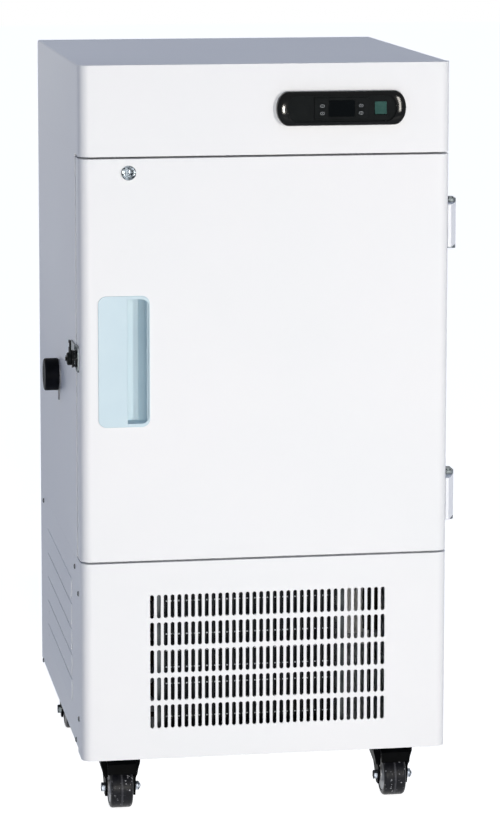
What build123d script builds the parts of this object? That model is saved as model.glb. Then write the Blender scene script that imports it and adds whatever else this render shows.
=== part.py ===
from build123d import *
import os

os.makedirs("parts", exist_ok=True)

# Upright laboratory freezer on four castors, millimetres.
# +X is the freezer's right side seen from the front, +Y its back, +Z up, floor at Z 0.

# Cabinet
width = 550.0
depth = 600.0
sheet = 1.2
corner_radius = 16.0
seam_gap = 3.0
lower_panel_bottom = 95.5
lower_panel_height = 298.0
door_height = 595.5
header_height = 133.0
door_depth = 44.0
gasket_depth = 12.0
header_return = 24.0
hood_step = 3.0
hood_edge_radius = 3.0
sill_drop = 8.3
side_cover_bottom = 102.0

# Insulated chamber
insulation = 95.0
liner_sheet = 1.0
breaker_width = 30.0
breaker_depth = 5.0
shelf_count = 2
shelf_sheet = 2.0
shelf_lip = 15.0
shelf_front_gap = 12.0
shelf_side_gap = 3.0
ledge_width = 8.0
ledge_height = 6.0
ledge_setback = 30.0
vent_width = 150.0
vent_height = 5.0
vent_pitch = 14.0
vent_rows = 6
vent_offset = 120.0
vent_drop = 60.0
inlet_offset = 180.0
inlet_drop = 90.0
inlet_width = 48.0
inlet_height = 27.0
inlet_depth = 28.0

# Door details
liner_plate = 2.0
door_plug_reach = 25.0
door_plug_gap = 8.0
gasket_width = 18.0
gasket_inset = 5.0
gasket_groove = 2.0
door_plug_corner = 10.0
handle_width = 76.0
handle_height = 194.0
handle_offset = 26.8
handle_proud = 1.5
handle_grip_width = 43.0
handle_pocket_height = 184.0
handle_pocket_depth = 28.0
handle_undercut = 27.0
handle_wall = 2.0
handle_corner = 12.0
handle_bulge = 2.0
handle_mouth_corner = 12.0
lock_offset = 72.5
lock_drop = 20.5
lock_ring_diameter = 21.7
lock_ring_proud = 3.0
lock_barrel_recess = 1.0
lock_body_diameter = 18.0
lock_body_length = 20.0
lock_barrel_diameter = 12.0
lock_cam_length = 29.0
lock_cam_width = 9.0
lock_cam_sheet = 3.0
lock_cam_room = 2.0
key_slot_width = 2.0
key_slot_length = 8.0
key_slot_depth = 4.0

# Hinges
hinge_height = 63.5
hinge_reach = 20.0
knuckle_diameter = 18.0
hinge_pin_diameter = 6.0
hinge_axis_depth = 50.0
top_hinge_drop = 108.0
bottom_hinge_rise = 75.5
hinge_arm = 5.0
hinge_plate = 3.0
hinge_plate_length = 46.0
hinge_arm_length = 16.0
hinge_setback = 4.0
hinge_pin_head = 2.5
leaf_front = 12.0
leaf_back = 40.0
leaf_lip = 5.0
leaf_waist = 14.0

# Side latch
latch_depth = 28.0
latch_rise = 300.0
latch_flange_diameter = 28.0
latch_flange_depth = 10.0
latch_knob_diameter = 19.0
latch_knob_depth = 6.0
latch_arm_sheet = 3.0
latch_arm_radius = 20.0
latch_arm_width = 12.0
latch_post_diameter = 6.0
latch_plate_depth = 26.0
latch_plate_height = 44.0
hook_room = 1.2
keeper_pin_diameter = 4.0
keeper_sheet = 2.0
keeper_height = 32.0
keeper_length = 44.0
keeper_lug_height = 14.0
keeper_arm_height = 8.0

# Access port
port_back = 293.0
port_height = 629.5
port_bore = 28.0
port_wall = 3.0
port_flange_diameter = 46.0
port_flange = 2.0
port_tab_width = 6.0
port_tab_drop = 40.0
plug_head_diameter = 50.0
plug_head_length = 22.0
plug_stem_length = 70.0

# Grille and louvres
slot_columns = 35
slot_rows = 5
slot_width = 5.0
slot_height = 34.4
slot_pitch_x = 10.225
slot_pitch_z = 40.85
grille_offset = 3.5
louvre_count = 5
louvre_length = 354.0
louvre_height = 37.0
louvre_pitch = 39.4
louvre_reach = 5.0
louvre_first = 147.0
louvre_front = 134.0

# Control pod
pod_width = 192.0
pod_height = 50.5
pod_end_radius = 30.0
pod_centre = 385.3
pod_rise = 67.2
pod_reach = 13.0
pod_wall = 3.0
pod_face_recess = 3.0
controller_width = 81.5
controller_height = 32.0
controller_offset = -0.7
display_width = 39.6
display_height = 24.4
key_width = 8.0
key_height = 6.0
key_columns = 57.3
key_pitch_z = 10.8
key_drop = 1.5
key_proud = 1.6
key_depth = 5.0
key_travel = 0.6
controller_proud = 1.0
window_proud = 0.8
window_depth = 2.0
rocker_width = 18.0
rocker_height = 19.6
rocker_offset = 57.4
rocker_rise = 1.6
rocker_middle = 0.4
rocker_taper = 2.0
rocker_tilt = 7.0
rocker_pivot_depth = 1.5
rocker_pin_diameter = 1.6
rocker_pin_reach = 1.0

# Machine compartment
base_sheet = 3.0
base_flange = 20.0
condenser_left = 129.0
condenser_width = 263.0
condenser_depth = 44.0
condenser_front = 57.0
tube_rows = 8
tube_pitch = 25.4
tube_diameter = 9.5
first_tube = 141.5
fin_pitch = 6.0
fin_groove = 4.5
fin_web = 8.0
fan_diameter = 180.0
fan_blades = 5
fan_clearance = 4.0
fan_hub_diameter = 44.0
fan_hub_depth = 30.0
fan_blade_chord = 42.0
fan_blade_sheet = 3.0
fan_blade_twist = 35.0
fan_shaft_diameter = 8.0
fan_motor_diameter = 62.0
fan_motor_length = 56.0
fan_motor_setback = 34.0
fan_foot_sheet = 6.0
shroud_depth = 30.0
shroud_lip = 12.0
condenser_end_lip = 2.0
condenser_end_rise = 4.0
return_stub = 6.0
compressor_diameter = 165.0
compressor_height = 190.0
compressor_depth = 370.0
compressor_foot = 16.0
compressor_skirt = 22.0
compressor_dome = 30.0
compressor_sides = 20
pipe_drop = 40.0
foot_diameter = 22.0
terminal_box_width = 33.0
terminal_box_depth = 50.0
terminal_box_height = 55.0
pipe_diameter = 8.0
pipe_offset = 42.0
pipe_rise = 66.0
liquid_offset = 22.0
coil_pitch = 50.0
lower_coil_rows = 3
upper_coil_rows = 5
coil_setback = 40.0
drier_offset = 452.0
drier_depth = 78.0
drier_bottom = 262.0
drier_diameter = 28.0
drier_length = 84.0
box_offset = 300.0
box_setback = 40.0
box_width = 180.0
box_depth = 120.0
box_height = 80.0

# Castors
wheel_diameter = 63.5
wheel_width = 34.0
wheel_hub_width = 39.4
axle_diameter = 8.0
axle_head = 5.5
axle_head_diameter = 14.0
wheel_hub_diameter = 20.0
swivel_trail = 28.0
castor_plate = 76.0
castor_sheet = 3.0
race_diameter = 52.0
race_height = 9.0
kingpin_diameter = 12.0
kingpin_head_diameter = 20.0
kingpin_head = 3.0
crown_width = 60.0
fork_foot_width = 46.0
fork_knee_drop = 16.0
fork_foot_below_axle = 13.0
fork_foot_above_axle = 14.0
fork_crown_front = 36.0
fork_crown_back = 24.0
fork_crown_edge = 12.0
fork_heel_drop = 24.0
fork_toe = 12.0
front_castor_inset = 65.5
rear_castor_inset = 46.0
front_axle_depth = 80.0
rear_axle_depth = 525.0
pedal_width = 43.0
pedal_pin_diameter = 4.0
pedal_reach = 28.0
pedal_sheet = 7.0
pedal_drop = 18.0
pedal_setback = 3.0
pedal_below_crown = 9.0

# Fits
running_gap = 0.05
air_gap = 0.3
swivel_gap = 0.5

# Levels
lower_panel_top = lower_panel_bottom + lower_panel_height
door_bottom = lower_panel_top + seam_gap
door_top = door_bottom + door_height
header_bottom = door_top + seam_gap
height = header_bottom + header_height
body_bottom = door_bottom - sill_drop
body_top = header_bottom + sheet
chamber_bottom = body_bottom + insulation
chamber_top = body_top - insulation
base_bottom = lower_panel_bottom + 2.5
base_top = base_bottom + base_sheet

# Planes: the side plug and the hinges reach past the cabinet, the control pod stands in front of it
plug_reach = plug_head_length + port_flange
left = -width / 2 + (plug_reach - hinge_reach) / 2
right = left + width
front = -depth / 2 + pod_reach / 2
back = front + depth
middle = (left + right) / 2
door_back = front + door_depth
cabinet_face = door_back + gasket_depth
chamber_left = left + insulation
chamber_right = right - insulation
chamber_back = back - insulation
chamber_front = cabinet_face + breaker_depth
hinge_x = right + hinge_reach - knuckle_diameter / 2
hinge_y = front + hinge_axis_depth
door_middle = door_bottom + door_height / 2
condenser_top = first_tube + (tube_rows - 0.5) * tube_pitch + condenser_end_rise
coil_bottom = port_height - (lower_coil_rows - 0.5) * coil_pitch
coil_rows = lower_coil_rows + upper_coil_rows
inlet_x = middle - inlet_offset
inlet_z = body_bottom - inlet_drop


def block(x0, x1, y0, y1, z0, z1):
    size = Box(x1 - x0, y1 - y0, z1 - z0)
    return Pos((x0 + x1) / 2, (y0 + y1) / 2, (z0 + z1) / 2) * size


def rod(start, direction, diameter, length):
    base = Plane(origin=start, z_dir=direction)
    return base * Cylinder(diameter / 2, length, align=(Align.CENTER, Align.CENTER, Align.MIN))


def plan(x0, x1, y0, y1, radius):
    # outline seen from above, with its two front corners rounded
    outline = Pos((x0 + x1) / 2, (y0 + y1) / 2) * Rectangle(x1 - x0, y1 - y0)
    return fillet(outline.vertices().sort_by(Axis.Y)[:2], radius)


def raised(outline, z0, z1):
    return extrude(Pos(0, 0, z0) * outline, amount=z1 - z0)


def upright(x, z, outline, y0, y1):
    # a front-view outline centred on x, z and carried from depth y0 to y1
    face = Plane(origin=(x, y0, z), x_dir=(1, 0, 0), z_dir=(0, -1, 0))
    return extrude(face * outline, amount=-(y1 - y0))


def tray(x0, x1, y0, y1, z0, z1, wall, radius):
    # bent sheet tray, open at its back
    shell = raised(plan(x0, x1, y0, y1, radius), z0, z1)
    inside = plan(x0 + wall, x1 - wall, y0 + wall, y1 + wall, radius - wall)
    return shell - raised(inside, z0 + wall, z1 - wall)


def bent_tube(path, diameter):
    # hidden pipes are given eight flats and mitred corners
    section = Plane(origin=path @ 0, z_dir=path % 0) * RegularPolygon(diameter / 2, 8)
    return sweep(section, path=path, transition=Transition.RIGHT)


def save(shape, name):
    export_step(shape, f"parts/{name}.step")


def group(pieces):
    return Compound(children=list(pieces))


# Sheet metal of the cabinet

def make_top_cover():
    hood_front = front + header_return + air_gap
    outer = block(left, right, hood_front, back, body_top, height)
    outer = fillet(outer.edges().filter_by(Axis.Y).sort_by(Axis.Z)[-2:], hood_edge_radius)
    inner = block(left + sheet, right - sheet, hood_front, back, body_top, height - sheet)
    inner = fillet(inner.edges().filter_by(Axis.Y).sort_by(Axis.Z)[-2:], hood_edge_radius - sheet)
    step = hood_step + air_gap
    tongue = plan(left + step, right - step, front + step, hood_front + sheet, corner_radius - step)
    return outer - inner + raised(tongue, height - sheet, height)


def make_header_panel():
    panel_back = front + header_return
    step_depth = sheet + air_gap
    panel = raised(plan(left, right, front, panel_back, corner_radius), header_bottom, height)
    inside = plan(left + sheet, right - sheet, front + sheet, panel_back + sheet, corner_radius - sheet)
    panel -= raised(inside, header_bottom + sheet, height - step_depth - sheet)
    seat = plan(left + hood_step, right - hood_step, front + hood_step, panel_back + sheet,
                corner_radius - hood_step)
    panel -= raised(seat, height - step_depth, height + sheet)
    pod_x = left + pod_centre
    pod_z = header_bottom + pod_rise
    hole = Rectangle(pod_width - 2 * pod_end_radius, pod_height - 4 * pod_wall)
    panel -= upright(pod_x, pod_z, hole, front - sheet, front + 2 * sheet)
    return panel - cam_slot(header_bottom - sheet, header_bottom + 2 * sheet)


def make_side_panel(x0):
    return block(x0, x0 + sheet, cabinet_face + sheet, back, body_bottom, body_top)


def port_hole():
    return rod((left - 1, front + port_back, port_height), (1, 0, 0), port_bore + 2 * port_wall,
               insulation + ledge_width)


def make_front_frame():
    frame = block(left, right, cabinet_face, cabinet_face + sheet, body_bottom, body_top)
    opening = block(chamber_left - breaker_width, chamber_right + breaker_width,
                    cabinet_face - sheet, cabinet_face + 2 * sheet,
                    chamber_bottom - breaker_width, chamber_top + breaker_width)
    return frame - opening


def make_breaker_frame():
    ring = block(chamber_left - breaker_width, chamber_right + breaker_width,
                 cabinet_face, chamber_front,
                 chamber_bottom - breaker_width, chamber_top + breaker_width)
    return ring - block(chamber_left, chamber_right, cabinet_face - 1, chamber_front + 1,
                        chamber_bottom, chamber_top)


def make_back_panel():
    panel = block(left + sheet, right - sheet, back - sheet, back, side_cover_bottom,
                  height - hood_edge_radius)
    for side in (-1, 1):
        for row in range(vent_rows):
            x = middle + side * vent_offset
            z = body_bottom - vent_drop - row * vent_pitch
            panel -= block(x - vent_width / 2, x + vent_width / 2, back - 2 * sheet, back + sheet,
                           z - vent_height / 2, z + vent_height / 2)
    panel -= block(inlet_x - inlet_width / 2, inlet_x + inlet_width / 2, back - 2 * sheet,
                   back + sheet, inlet_z - inlet_height / 2, inlet_z + inlet_height / 2)
    return panel


def make_lower_panel():
    panel = tray(left, right, front, cabinet_face, lower_panel_bottom, lower_panel_top,
                 sheet, corner_radius)
    panel -= block(left + sheet, right - sheet, front + header_return, cabinet_face + 1,
                   lower_panel_bottom - 1, lower_panel_top + 1)
    centre_x = middle + grille_offset
    centre_z = (lower_panel_bottom + lower_panel_top) / 2
    slots = []
    for column in range(slot_columns):
        for row in range(slot_rows):
            x = centre_x + (column - (slot_columns - 1) / 2) * slot_pitch_x
            z = centre_z + (row - (slot_rows - 1) / 2) * slot_pitch_z
            slots.append(block(x - slot_width / 2, x + slot_width / 2, front - sheet,
                               front + 2 * sheet, z - slot_height / 2, z + slot_height / 2))
    return panel - slots


def make_service_cover(x_outer, side):
    # side is -1 on the left and +1 on the right; each louvre blade leans in towards its top
    inner = x_outer - side * sheet
    cover = block(min(x_outer, inner), max(x_outer, inner), cabinet_face + air_gap, back,
                  side_cover_bottom, body_bottom - air_gap)
    y0 = front + louvre_front
    deep = x_outer - side * louvre_reach
    proud = x_outer + side
    for number in range(louvre_count):
        z0 = louvre_first + number * louvre_pitch
        z1 = z0 + louvre_height
        cover -= block(min(proud, inner), max(proud, inner), y0, y0 + louvre_length, z0, z1)
        pressed = Polyline((x_outer, z0), (x_outer, z1), (deep - side * sheet, z1), (inner, z0),
                           close=True)
        section = Plane(origin=(0, y0, 0), x_dir=(1, 0, 0), z_dir=(0, -1, 0))
        cover += extrude(section * make_face(pressed), amount=-louvre_length)
        recess = Polyline((x_outer, z0), (proud, z0), (proud, z1), (deep, z1), close=True)
        section = Plane(origin=(0, y0 + sheet, 0), x_dir=(1, 0, 0), z_dir=(0, -1, 0))
        cover -= extrude(section * make_face(recess), amount=-(louvre_length - 2 * sheet))
    return cover


def make_base_plate():
    x0 = left + sheet
    x1 = right - sheet
    y0 = front + header_return + air_gap
    y1 = back - sheet
    plate = block(x0, x1, y0, y1, base_bottom, base_top)
    for wall in (block(x0, x0 + base_sheet, y0, y1, base_bottom, base_top + base_flange),
                 block(x1 - base_sheet, x1, y0, y1, base_bottom, base_top + base_flange),
                 block(x0, x1, y1 - base_sheet, y1, base_bottom, base_top + base_flange)):
        plate += wall
    return plate


def make_body_end_sheets():
    # the foamed body is closed below and above by a flat sheet
    for z0 in (body_bottom, body_top - sheet):
        yield block(left + sheet, right - sheet, cabinet_face + sheet, back - sheet, z0, z0 + sheet)


# Insulated body

def shelf_level(number):
    return chamber_bottom + (number + 1) * (chamber_top - chamber_bottom) / (shelf_count + 1)


def make_inner_liner():
    liner = block(chamber_left - liner_sheet, chamber_right + liner_sheet, chamber_front,
                  chamber_back + liner_sheet, chamber_bottom - liner_sheet,
                  chamber_top + liner_sheet)
    liner -= block(chamber_left, chamber_right, chamber_front - 1, chamber_back,
                   chamber_bottom, chamber_top)
    for number in range(shelf_count):
        top = shelf_level(number) - shelf_sheet
        for x0 in (chamber_left, chamber_right - ledge_width):
            liner += block(x0, x0 + ledge_width, chamber_front + ledge_setback, chamber_back,
                           top - ledge_height, top)
    return liner - port_hole()


def make_shelf(number):
    top = shelf_level(number)
    x0 = chamber_left + shelf_side_gap
    x1 = chamber_right - shelf_side_gap
    y0 = cabinet_face + door_plug_reach + shelf_front_gap
    y1 = chamber_back - shelf_side_gap
    shelf = block(x0, x1, y0, y1, top - shelf_sheet, top)
    lip_left = chamber_left + ledge_width + shelf_side_gap
    lip_right = chamber_right - ledge_width - shelf_side_gap
    shelf += block(lip_left, lip_right, y0, y0 + shelf_sheet, top - shelf_lip, top)
    return shelf


def coil_points():
    # the evaporator tube runs round three sides of the liner, back and forth
    offset = liner_sheet + pipe_diameter / 2 + air_gap
    x0 = chamber_left - offset
    x1 = chamber_right + offset
    y0 = chamber_front + coil_setback
    y1 = chamber_back + offset
    points = []
    for turn in range(coil_rows):
        z = coil_bottom + turn * coil_pitch
        row = [(x0, y0, z), (x0, y1, z), (x1, y1, z), (x1, y0, z)]
        if turn % 2:
            row.reverse()
        points += row
    return points


def make_evaporator_coil():
    # its rows pass above and below the access port
    return bent_tube(Polyline(coil_points()), pipe_diameter)


def coil_channels():
    side = pipe_diameter + 2 * air_gap
    x0 = chamber_left - liner_sheet
    x1 = chamber_right + liner_sheet
    y0 = chamber_front + coil_setback - side
    y1 = chamber_back + liner_sheet
    channels = []
    for turn in range(coil_rows):
        z = coil_bottom + turn * coil_pitch
        channels.append(block(x0 - side, x1 + side, y0, y1 + side, z - side / 2, z + side / 2))
    for turn in range(coil_rows - 1):
        z = coil_bottom + turn * coil_pitch
        x = x1 if turn % 2 == 0 else x0 - side
        channels.append(block(x, x + side, y0, y0 + 2 * side, z - side / 2,
                              z + coil_pitch + side / 2))
    return channels


def make_cabinet_insulation():
    foam = block(left + sheet, right - sheet, cabinet_face + sheet, back - sheet,
                 body_bottom + sheet, body_top - sheet)
    foam -= block(chamber_left - breaker_width, chamber_right + breaker_width, cabinet_face,
                  chamber_front, chamber_bottom - breaker_width, chamber_top + breaker_width)
    foam -= block(chamber_left - liner_sheet, chamber_right + liner_sheet, cabinet_face,
                  chamber_back + liner_sheet, chamber_bottom - liner_sheet,
                  chamber_top + liner_sheet)
    return foam - port_hole() - coil_channels()


def make_port_sleeve():
    start = (left - port_flange, front + port_back, port_height)
    tube = rod(start, (1, 0, 0), port_bore + 2 * port_wall - 2 * running_gap,
               port_flange + insulation)
    tube += rod(start, (1, 0, 0), port_flange_diameter, port_flange)
    tab_y = front + port_back
    half = port_tab_width / 2
    tube += block(left - port_flange, left, tab_y - half, tab_y + half, port_height - port_tab_drop,
                  port_height - port_bore / 2 - port_wall)
    return tube - rod(start, (1, 0, 0), port_bore, port_flange + insulation)


def make_port_plug():
    head_end = (left - port_flange, front + port_back, port_height)
    head = rod(head_end, (-1, 0, 0), plug_head_diameter, plug_head_length)
    return head + rod(head_end, (1, 0, 0), port_bore - 2 * running_gap, plug_stem_length)


# Door

def handle_place():
    return left + handle_offset, door_middle


def make_door_skin():
    skin = tray(left, right, front, door_back, door_bottom, door_top, sheet, corner_radius)
    x0, z = handle_place()
    hole_left = x0 + handle_grip_width - handle_undercut - handle_wall - air_gap
    hole_right = x0 + handle_width - handle_wall - air_gap
    half = handle_pocket_height / 2 + handle_wall + air_gap
    hole = Rectangle(hole_right - hole_left, 2 * half)
    hole = fillet(hole.vertices(), handle_corner / 2)
    skin -= upright((hole_left + hole_right) / 2, z, hole, front - 1, front + 2 * sheet)
    lock_x, lock_z = lock_place()
    skin -= rod((lock_x, front - 1, lock_z), (0, 1, 0), lock_body_diameter, 4 * sheet)
    return skin - cam_slot(door_top - 2 * sheet, door_top + sheet)


def plug_bounds():
    return (chamber_left + door_plug_gap, chamber_right - door_plug_gap,
            chamber_bottom + door_plug_gap, chamber_top - door_plug_gap)


def make_door_liner():
    x0, x1, z0, z1 = plug_bounds()
    plug_back = cabinet_face + door_plug_reach
    liner = block(left + sheet, right - sheet, door_back - liner_plate, door_back,
                  door_bottom + sheet, door_top - sheet)
    tray_outer = block(x0, x1, door_back - liner_plate, plug_back, z0, z1)
    tray_outer = fillet(tray_outer.edges().filter_by(Axis.Y), door_plug_corner)
    tray_inner = block(x0 + liner_plate, x1 - liner_plate, door_back - 2 * liner_plate,
                       plug_back - liner_plate, z0 + liner_plate, z1 - liner_plate)
    tray_inner = fillet(tray_inner.edges().filter_by(Axis.Y), door_plug_corner - liner_plate)
    return liner + tray_outer - tray_inner


def handle_envelope():
    x0, z = handle_place()
    tub_left = x0 + handle_grip_width - handle_undercut - handle_wall
    tub_right = x0 + handle_width - handle_wall - 2 * air_gap
    half = handle_pocket_height / 2 + handle_wall
    return tub_left, tub_right, z - half, z + half


def make_door_insulation():
    gap = sheet + air_gap
    foam = raised(plan(left + gap, right - gap, front + gap, door_back - liner_plate,
                       corner_radius - gap), door_bottom + gap, door_top - gap)
    x0, x1, z0, z1 = plug_bounds()
    inset = liner_plate + air_gap
    plug = block(x0 + inset, x1 - inset, door_back - 2 * liner_plate,
                 cabinet_face + door_plug_reach - liner_plate, z0 + inset, z1 - inset)
    foam += fillet(plug.edges().filter_by(Axis.Y), door_plug_corner - inset)
    tub_left, tub_right, tub_low, tub_high = handle_envelope()
    foam -= block(tub_left - air_gap, tub_right + air_gap, front,
                  front + handle_pocket_depth + handle_wall + air_gap,
                  tub_low - air_gap, tub_high + air_gap)
    lock_x, lock_z = lock_place()
    foam -= rod((lock_x, front, lock_z), (0, 1, 0), lock_body_diameter, lock_body_length)
    half = lock_body_diameter / 2
    return foam - block(lock_x - lock_cam_length - lock_cam_room, lock_x + half,
                        front + lock_body_length, lock_cam_front() + lock_cam_sheet + lock_cam_room,
                        lock_z - half, door_top)


def make_door_gasket():
    x0 = left + gasket_inset
    x1 = right - gasket_inset
    z0 = door_bottom + gasket_inset
    z1 = door_top - gasket_inset
    seal_back = cabinet_face - air_gap
    ring = block(x0, x1, door_back, seal_back, z0, z1)
    ring -= block(x0 + gasket_width, x1 - gasket_width, door_back - 1, seal_back + 1,
                  z0 + gasket_width, z1 - gasket_width)
    half = gasket_groove / 2
    y = door_back + gasket_depth / 2
    bellows = block(x0 - 1, x1 + 1, y - half, y + half, z0 - 1, z1 + 1)
    bellows -= block(x0 + gasket_groove, x1 - gasket_groove, door_back, seal_back,
                     z0 + gasket_groove, z1 - gasket_groove)
    return ring - bellows


def make_handle_insert():
    x0, z = handle_place()
    flange = fillet(Rectangle(handle_width, handle_height).vertices(), handle_corner)
    insert = upright(x0 + handle_width / 2, z, flange, front - handle_proud, front)
    tub_left, tub_right, tub_low, tub_high = handle_envelope()
    tub = block(tub_left, tub_right, front, front + handle_pocket_depth + handle_wall,
                tub_low, tub_high)
    insert += fillet(tub.edges().filter_by(Axis.Y), handle_corner / 2 - air_gap)
    # the pocket's plan: open in front, undercut behind the grip plate, its far wall curved
    grip = x0 + handle_grip_width
    far = x0 + handle_width - handle_wall / 2
    wall_front = tub_right - handle_wall
    wall_back = wall_front - handle_pocket_depth / 3
    deep = front + handle_pocket_depth
    grip_back = front + 2 * handle_wall
    lead_in = Line((grip, front - handle_proud), (far, front - handle_proud))
    rim = Line((far, front - handle_proud), (wall_front, front + handle_proud))
    curve = ThreePointArc((wall_front, front + handle_proud),
                          (wall_front - handle_bulge, front + handle_pocket_depth * 0.6),
                          (wall_back, deep))
    floor = Polyline((wall_back, deep), (grip - handle_undercut, deep),
                     (grip - handle_undercut, grip_back), (grip, grip_back),
                     (grip, front - handle_proud))
    pocket = make_face(Curve() + [lead_in, rim, curve, floor])
    half = handle_pocket_height / 2
    reach_left = grip - handle_undercut
    mouth = Pos((reach_left + far) / 2, 0) * Rectangle(far - reach_left, 2 * half)
    mouth = fillet(mouth.vertices().sort_by(Axis.X)[-2:], handle_mouth_corner)
    window = upright(0, z, mouth, front - 2 * handle_proud, deep + handle_proud)
    return insert - (raised(pocket, z - half, z + half) & window)


def lock_place():
    return left + lock_offset, door_top - lock_drop


def lock_cam_front():
    return front + lock_body_length + air_gap


def cam_slot(z0, z1):
    # room for the cam's quarter turn, up through the door's top edge and the header's flange
    x = lock_place()[0]
    return block(x - lock_cam_length + lock_cam_room, x + lock_cam_width / 2 + lock_cam_room,
                 lock_cam_front() - lock_cam_room, lock_cam_front() + lock_cam_sheet + lock_cam_room,
                 z0, z1)


def make_lock_housing():
    x, z = lock_place()
    housing = rod((x, front - lock_ring_proud, z), (0, 1, 0), lock_ring_diameter, lock_ring_proud)
    housing += rod((x, front, z), (0, 1, 0), lock_body_diameter - 2 * running_gap, lock_body_length)
    return housing - rod((x, front - lock_ring_proud, z), (0, 1, 0), lock_barrel_diameter,
                         lock_ring_proud + lock_body_length)


def make_lock_barrel():
    x, z = lock_place()
    face = front - lock_ring_proud + lock_barrel_recess
    cam_front = lock_cam_front()
    barrel = rod((x, face, z), (0, 1, 0), lock_barrel_diameter - 2 * running_gap,
                 cam_front + lock_cam_sheet - face)
    barrel -= block(x - key_slot_width / 2, x + key_slot_width / 2, face - 1, face + key_slot_depth,
                    z - key_slot_length / 2, z + key_slot_length / 2)
    half = lock_cam_width / 2
    cam = block(x - lock_cam_length, x + half, cam_front, cam_front + lock_cam_sheet,
                z - half, z + half)
    return barrel + cam


# Hinges

def hinge_levels():
    return door_top - top_hinge_drop, door_bottom + bottom_hinge_rise


def make_hinge_base(z):
    low = z - hinge_height / 2 - swivel_gap - hinge_arm
    high = z + hinge_height / 2 + swivel_gap + hinge_arm
    y0 = cabinet_face + hinge_setback
    y1 = y0 + hinge_arm_length
    base = block(right, right + hinge_plate, y0, y0 + hinge_plate_length, low, high)
    for z0 in (low, high - hinge_arm):
        base += block(right, hinge_x, y0, y1, z0, z0 + hinge_arm)
        base += rod((hinge_x, hinge_y, z0), (0, 0, 1), knuckle_diameter, hinge_arm)
        base += block(hinge_x - knuckle_diameter / 2 + hinge_plate, hinge_x + knuckle_diameter / 2,
                      hinge_y, y1, z0, z0 + hinge_arm)
        base -= rod((hinge_x, hinge_y, z0 - 1), (0, 0, 1), hinge_pin_diameter, hinge_arm + 2)
    return base


def make_hinge_pin(z):
    low = z - hinge_height / 2 - swivel_gap - hinge_arm
    length = hinge_height + 2 * (swivel_gap + hinge_arm)
    pin = rod((hinge_x, hinge_y, low), (0, 0, 1), hinge_pin_diameter - 2 * running_gap, length)
    head = rod((hinge_x, hinge_y, low + length), (0, 0, 1), 1.8 * hinge_pin_diameter,
               hinge_pin_head)
    return pin + head


def make_hinge_leaf(z):
    # a cast cover on the door edge that runs into the knuckle
    low = z - hinge_height / 2
    half = knuckle_diameter / 2
    outline = make_face(Polyline((right, front + leaf_front),
                                 (right + leaf_lip, front + leaf_front),
                                 (hinge_x + half / 2, hinge_y - leaf_waist),
                                 (hinge_x + half, hinge_y), (hinge_x, hinge_y),
                                 (hinge_x - half / 2, hinge_y - half),
                                 (right, front + leaf_back), close=True))
    leaf = raised(outline, low, low + hinge_height)
    leaf += rod((hinge_x, hinge_y, low), (0, 0, 1), knuckle_diameter, hinge_height)
    return leaf - rod((hinge_x, hinge_y, low - 1), (0, 0, 1), hinge_pin_diameter, hinge_height + 2)


# Side latch

def latch_place():
    return front + latch_depth, door_bottom + latch_rise


def make_latch_base():
    y, z = latch_place()
    base = block(left - keeper_sheet, left, y - latch_plate_depth / 2, y + latch_plate_depth / 2,
                 z - latch_plate_height / 2, z + latch_plate_height / 2)
    base += rod((left, y, z), (-1, 0, 0), latch_flange_diameter, latch_flange_depth)
    post_length = latch_flange_depth + latch_arm_sheet + latch_knob_depth
    return base + rod((left, y, z), (-1, 0, 0), latch_post_diameter, post_length)


def make_latch_knob():
    # at rest the hook arm points up; a quarter turn brings it back over the keeper's pin
    y, z = latch_place()
    arm_face = left - latch_flange_depth - air_gap
    plane = Plane(origin=(arm_face, y, z), x_dir=(0, 1, 0), z_dir=(-1, 0, 0))
    pin_room = keeper_pin_diameter / 2 + hook_room
    tip = latch_arm_radius + pin_room + latch_arm_width / 3
    arm = Circle(latch_knob_diameter / 2) + Pos(0, -tip / 2) * Rectangle(latch_arm_width, tip)
    notch = Rectangle(2 * pin_room + latch_arm_width, 2 * pin_room)
    arm -= Pos(latch_arm_width / 2, -latch_arm_radius) * notch
    knob = extrude(plane * arm, amount=latch_arm_sheet)
    knob += rod((arm_face - latch_arm_sheet, y, z), (-1, 0, 0), latch_knob_diameter,
                latch_knob_depth - air_gap)
    bore = latch_post_diameter + 2 * running_gap
    return knob - rod((arm_face, y, z), (-1, 0, 0), bore, latch_arm_sheet + latch_knob_depth)


def make_latch_keeper():
    y, z = latch_place()
    pin_y = y + latch_arm_radius
    half = keeper_height / 2
    lug_half = keeper_lug_height / 2
    arm_half = keeper_arm_height / 2
    y0 = cabinet_face + hinge_setback
    keeper = block(left - keeper_sheet, left, y0, y0 + keeper_length, z - half, z + half)
    lug_out = left - latch_flange_depth + keeper_sheet
    keeper += block(lug_out - keeper_sheet, left, y0, y0 + keeper_sheet, z - lug_half, z + lug_half)
    keeper += block(lug_out - keeper_sheet, lug_out, pin_y - arm_half, y0 + keeper_sheet,
                    z - arm_half, z + arm_half)
    pin_length = latch_arm_sheet + 2 * keeper_sheet + 4 * air_gap
    return keeper + rod((lug_out, pin_y, z), (-1, 0, 0), keeper_pin_diameter, pin_length)


# Control pod

def pod_place():
    return left + pod_centre, header_bottom + pod_rise


def pod_outline(inset):
    # straight top and bottom edges, ends as shallow arcs
    half_w = pod_width / 2 - inset
    half_h = pod_height / 2 - inset
    radius = pod_end_radius - inset
    sagitta = radius - (radius ** 2 - half_h ** 2) ** 0.5
    x = half_w - sagitta
    top = Line((-x, half_h), (x, half_h))
    right_end = ThreePointArc((x, half_h), (half_w, 0), (x, -half_h))
    bottom = Line((x, -half_h), (-x, -half_h))
    left_end = ThreePointArc((-x, -half_h), (-half_w, 0), (-x, half_h))
    return make_face(Curve() + [top, right_end, bottom, left_end])


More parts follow.
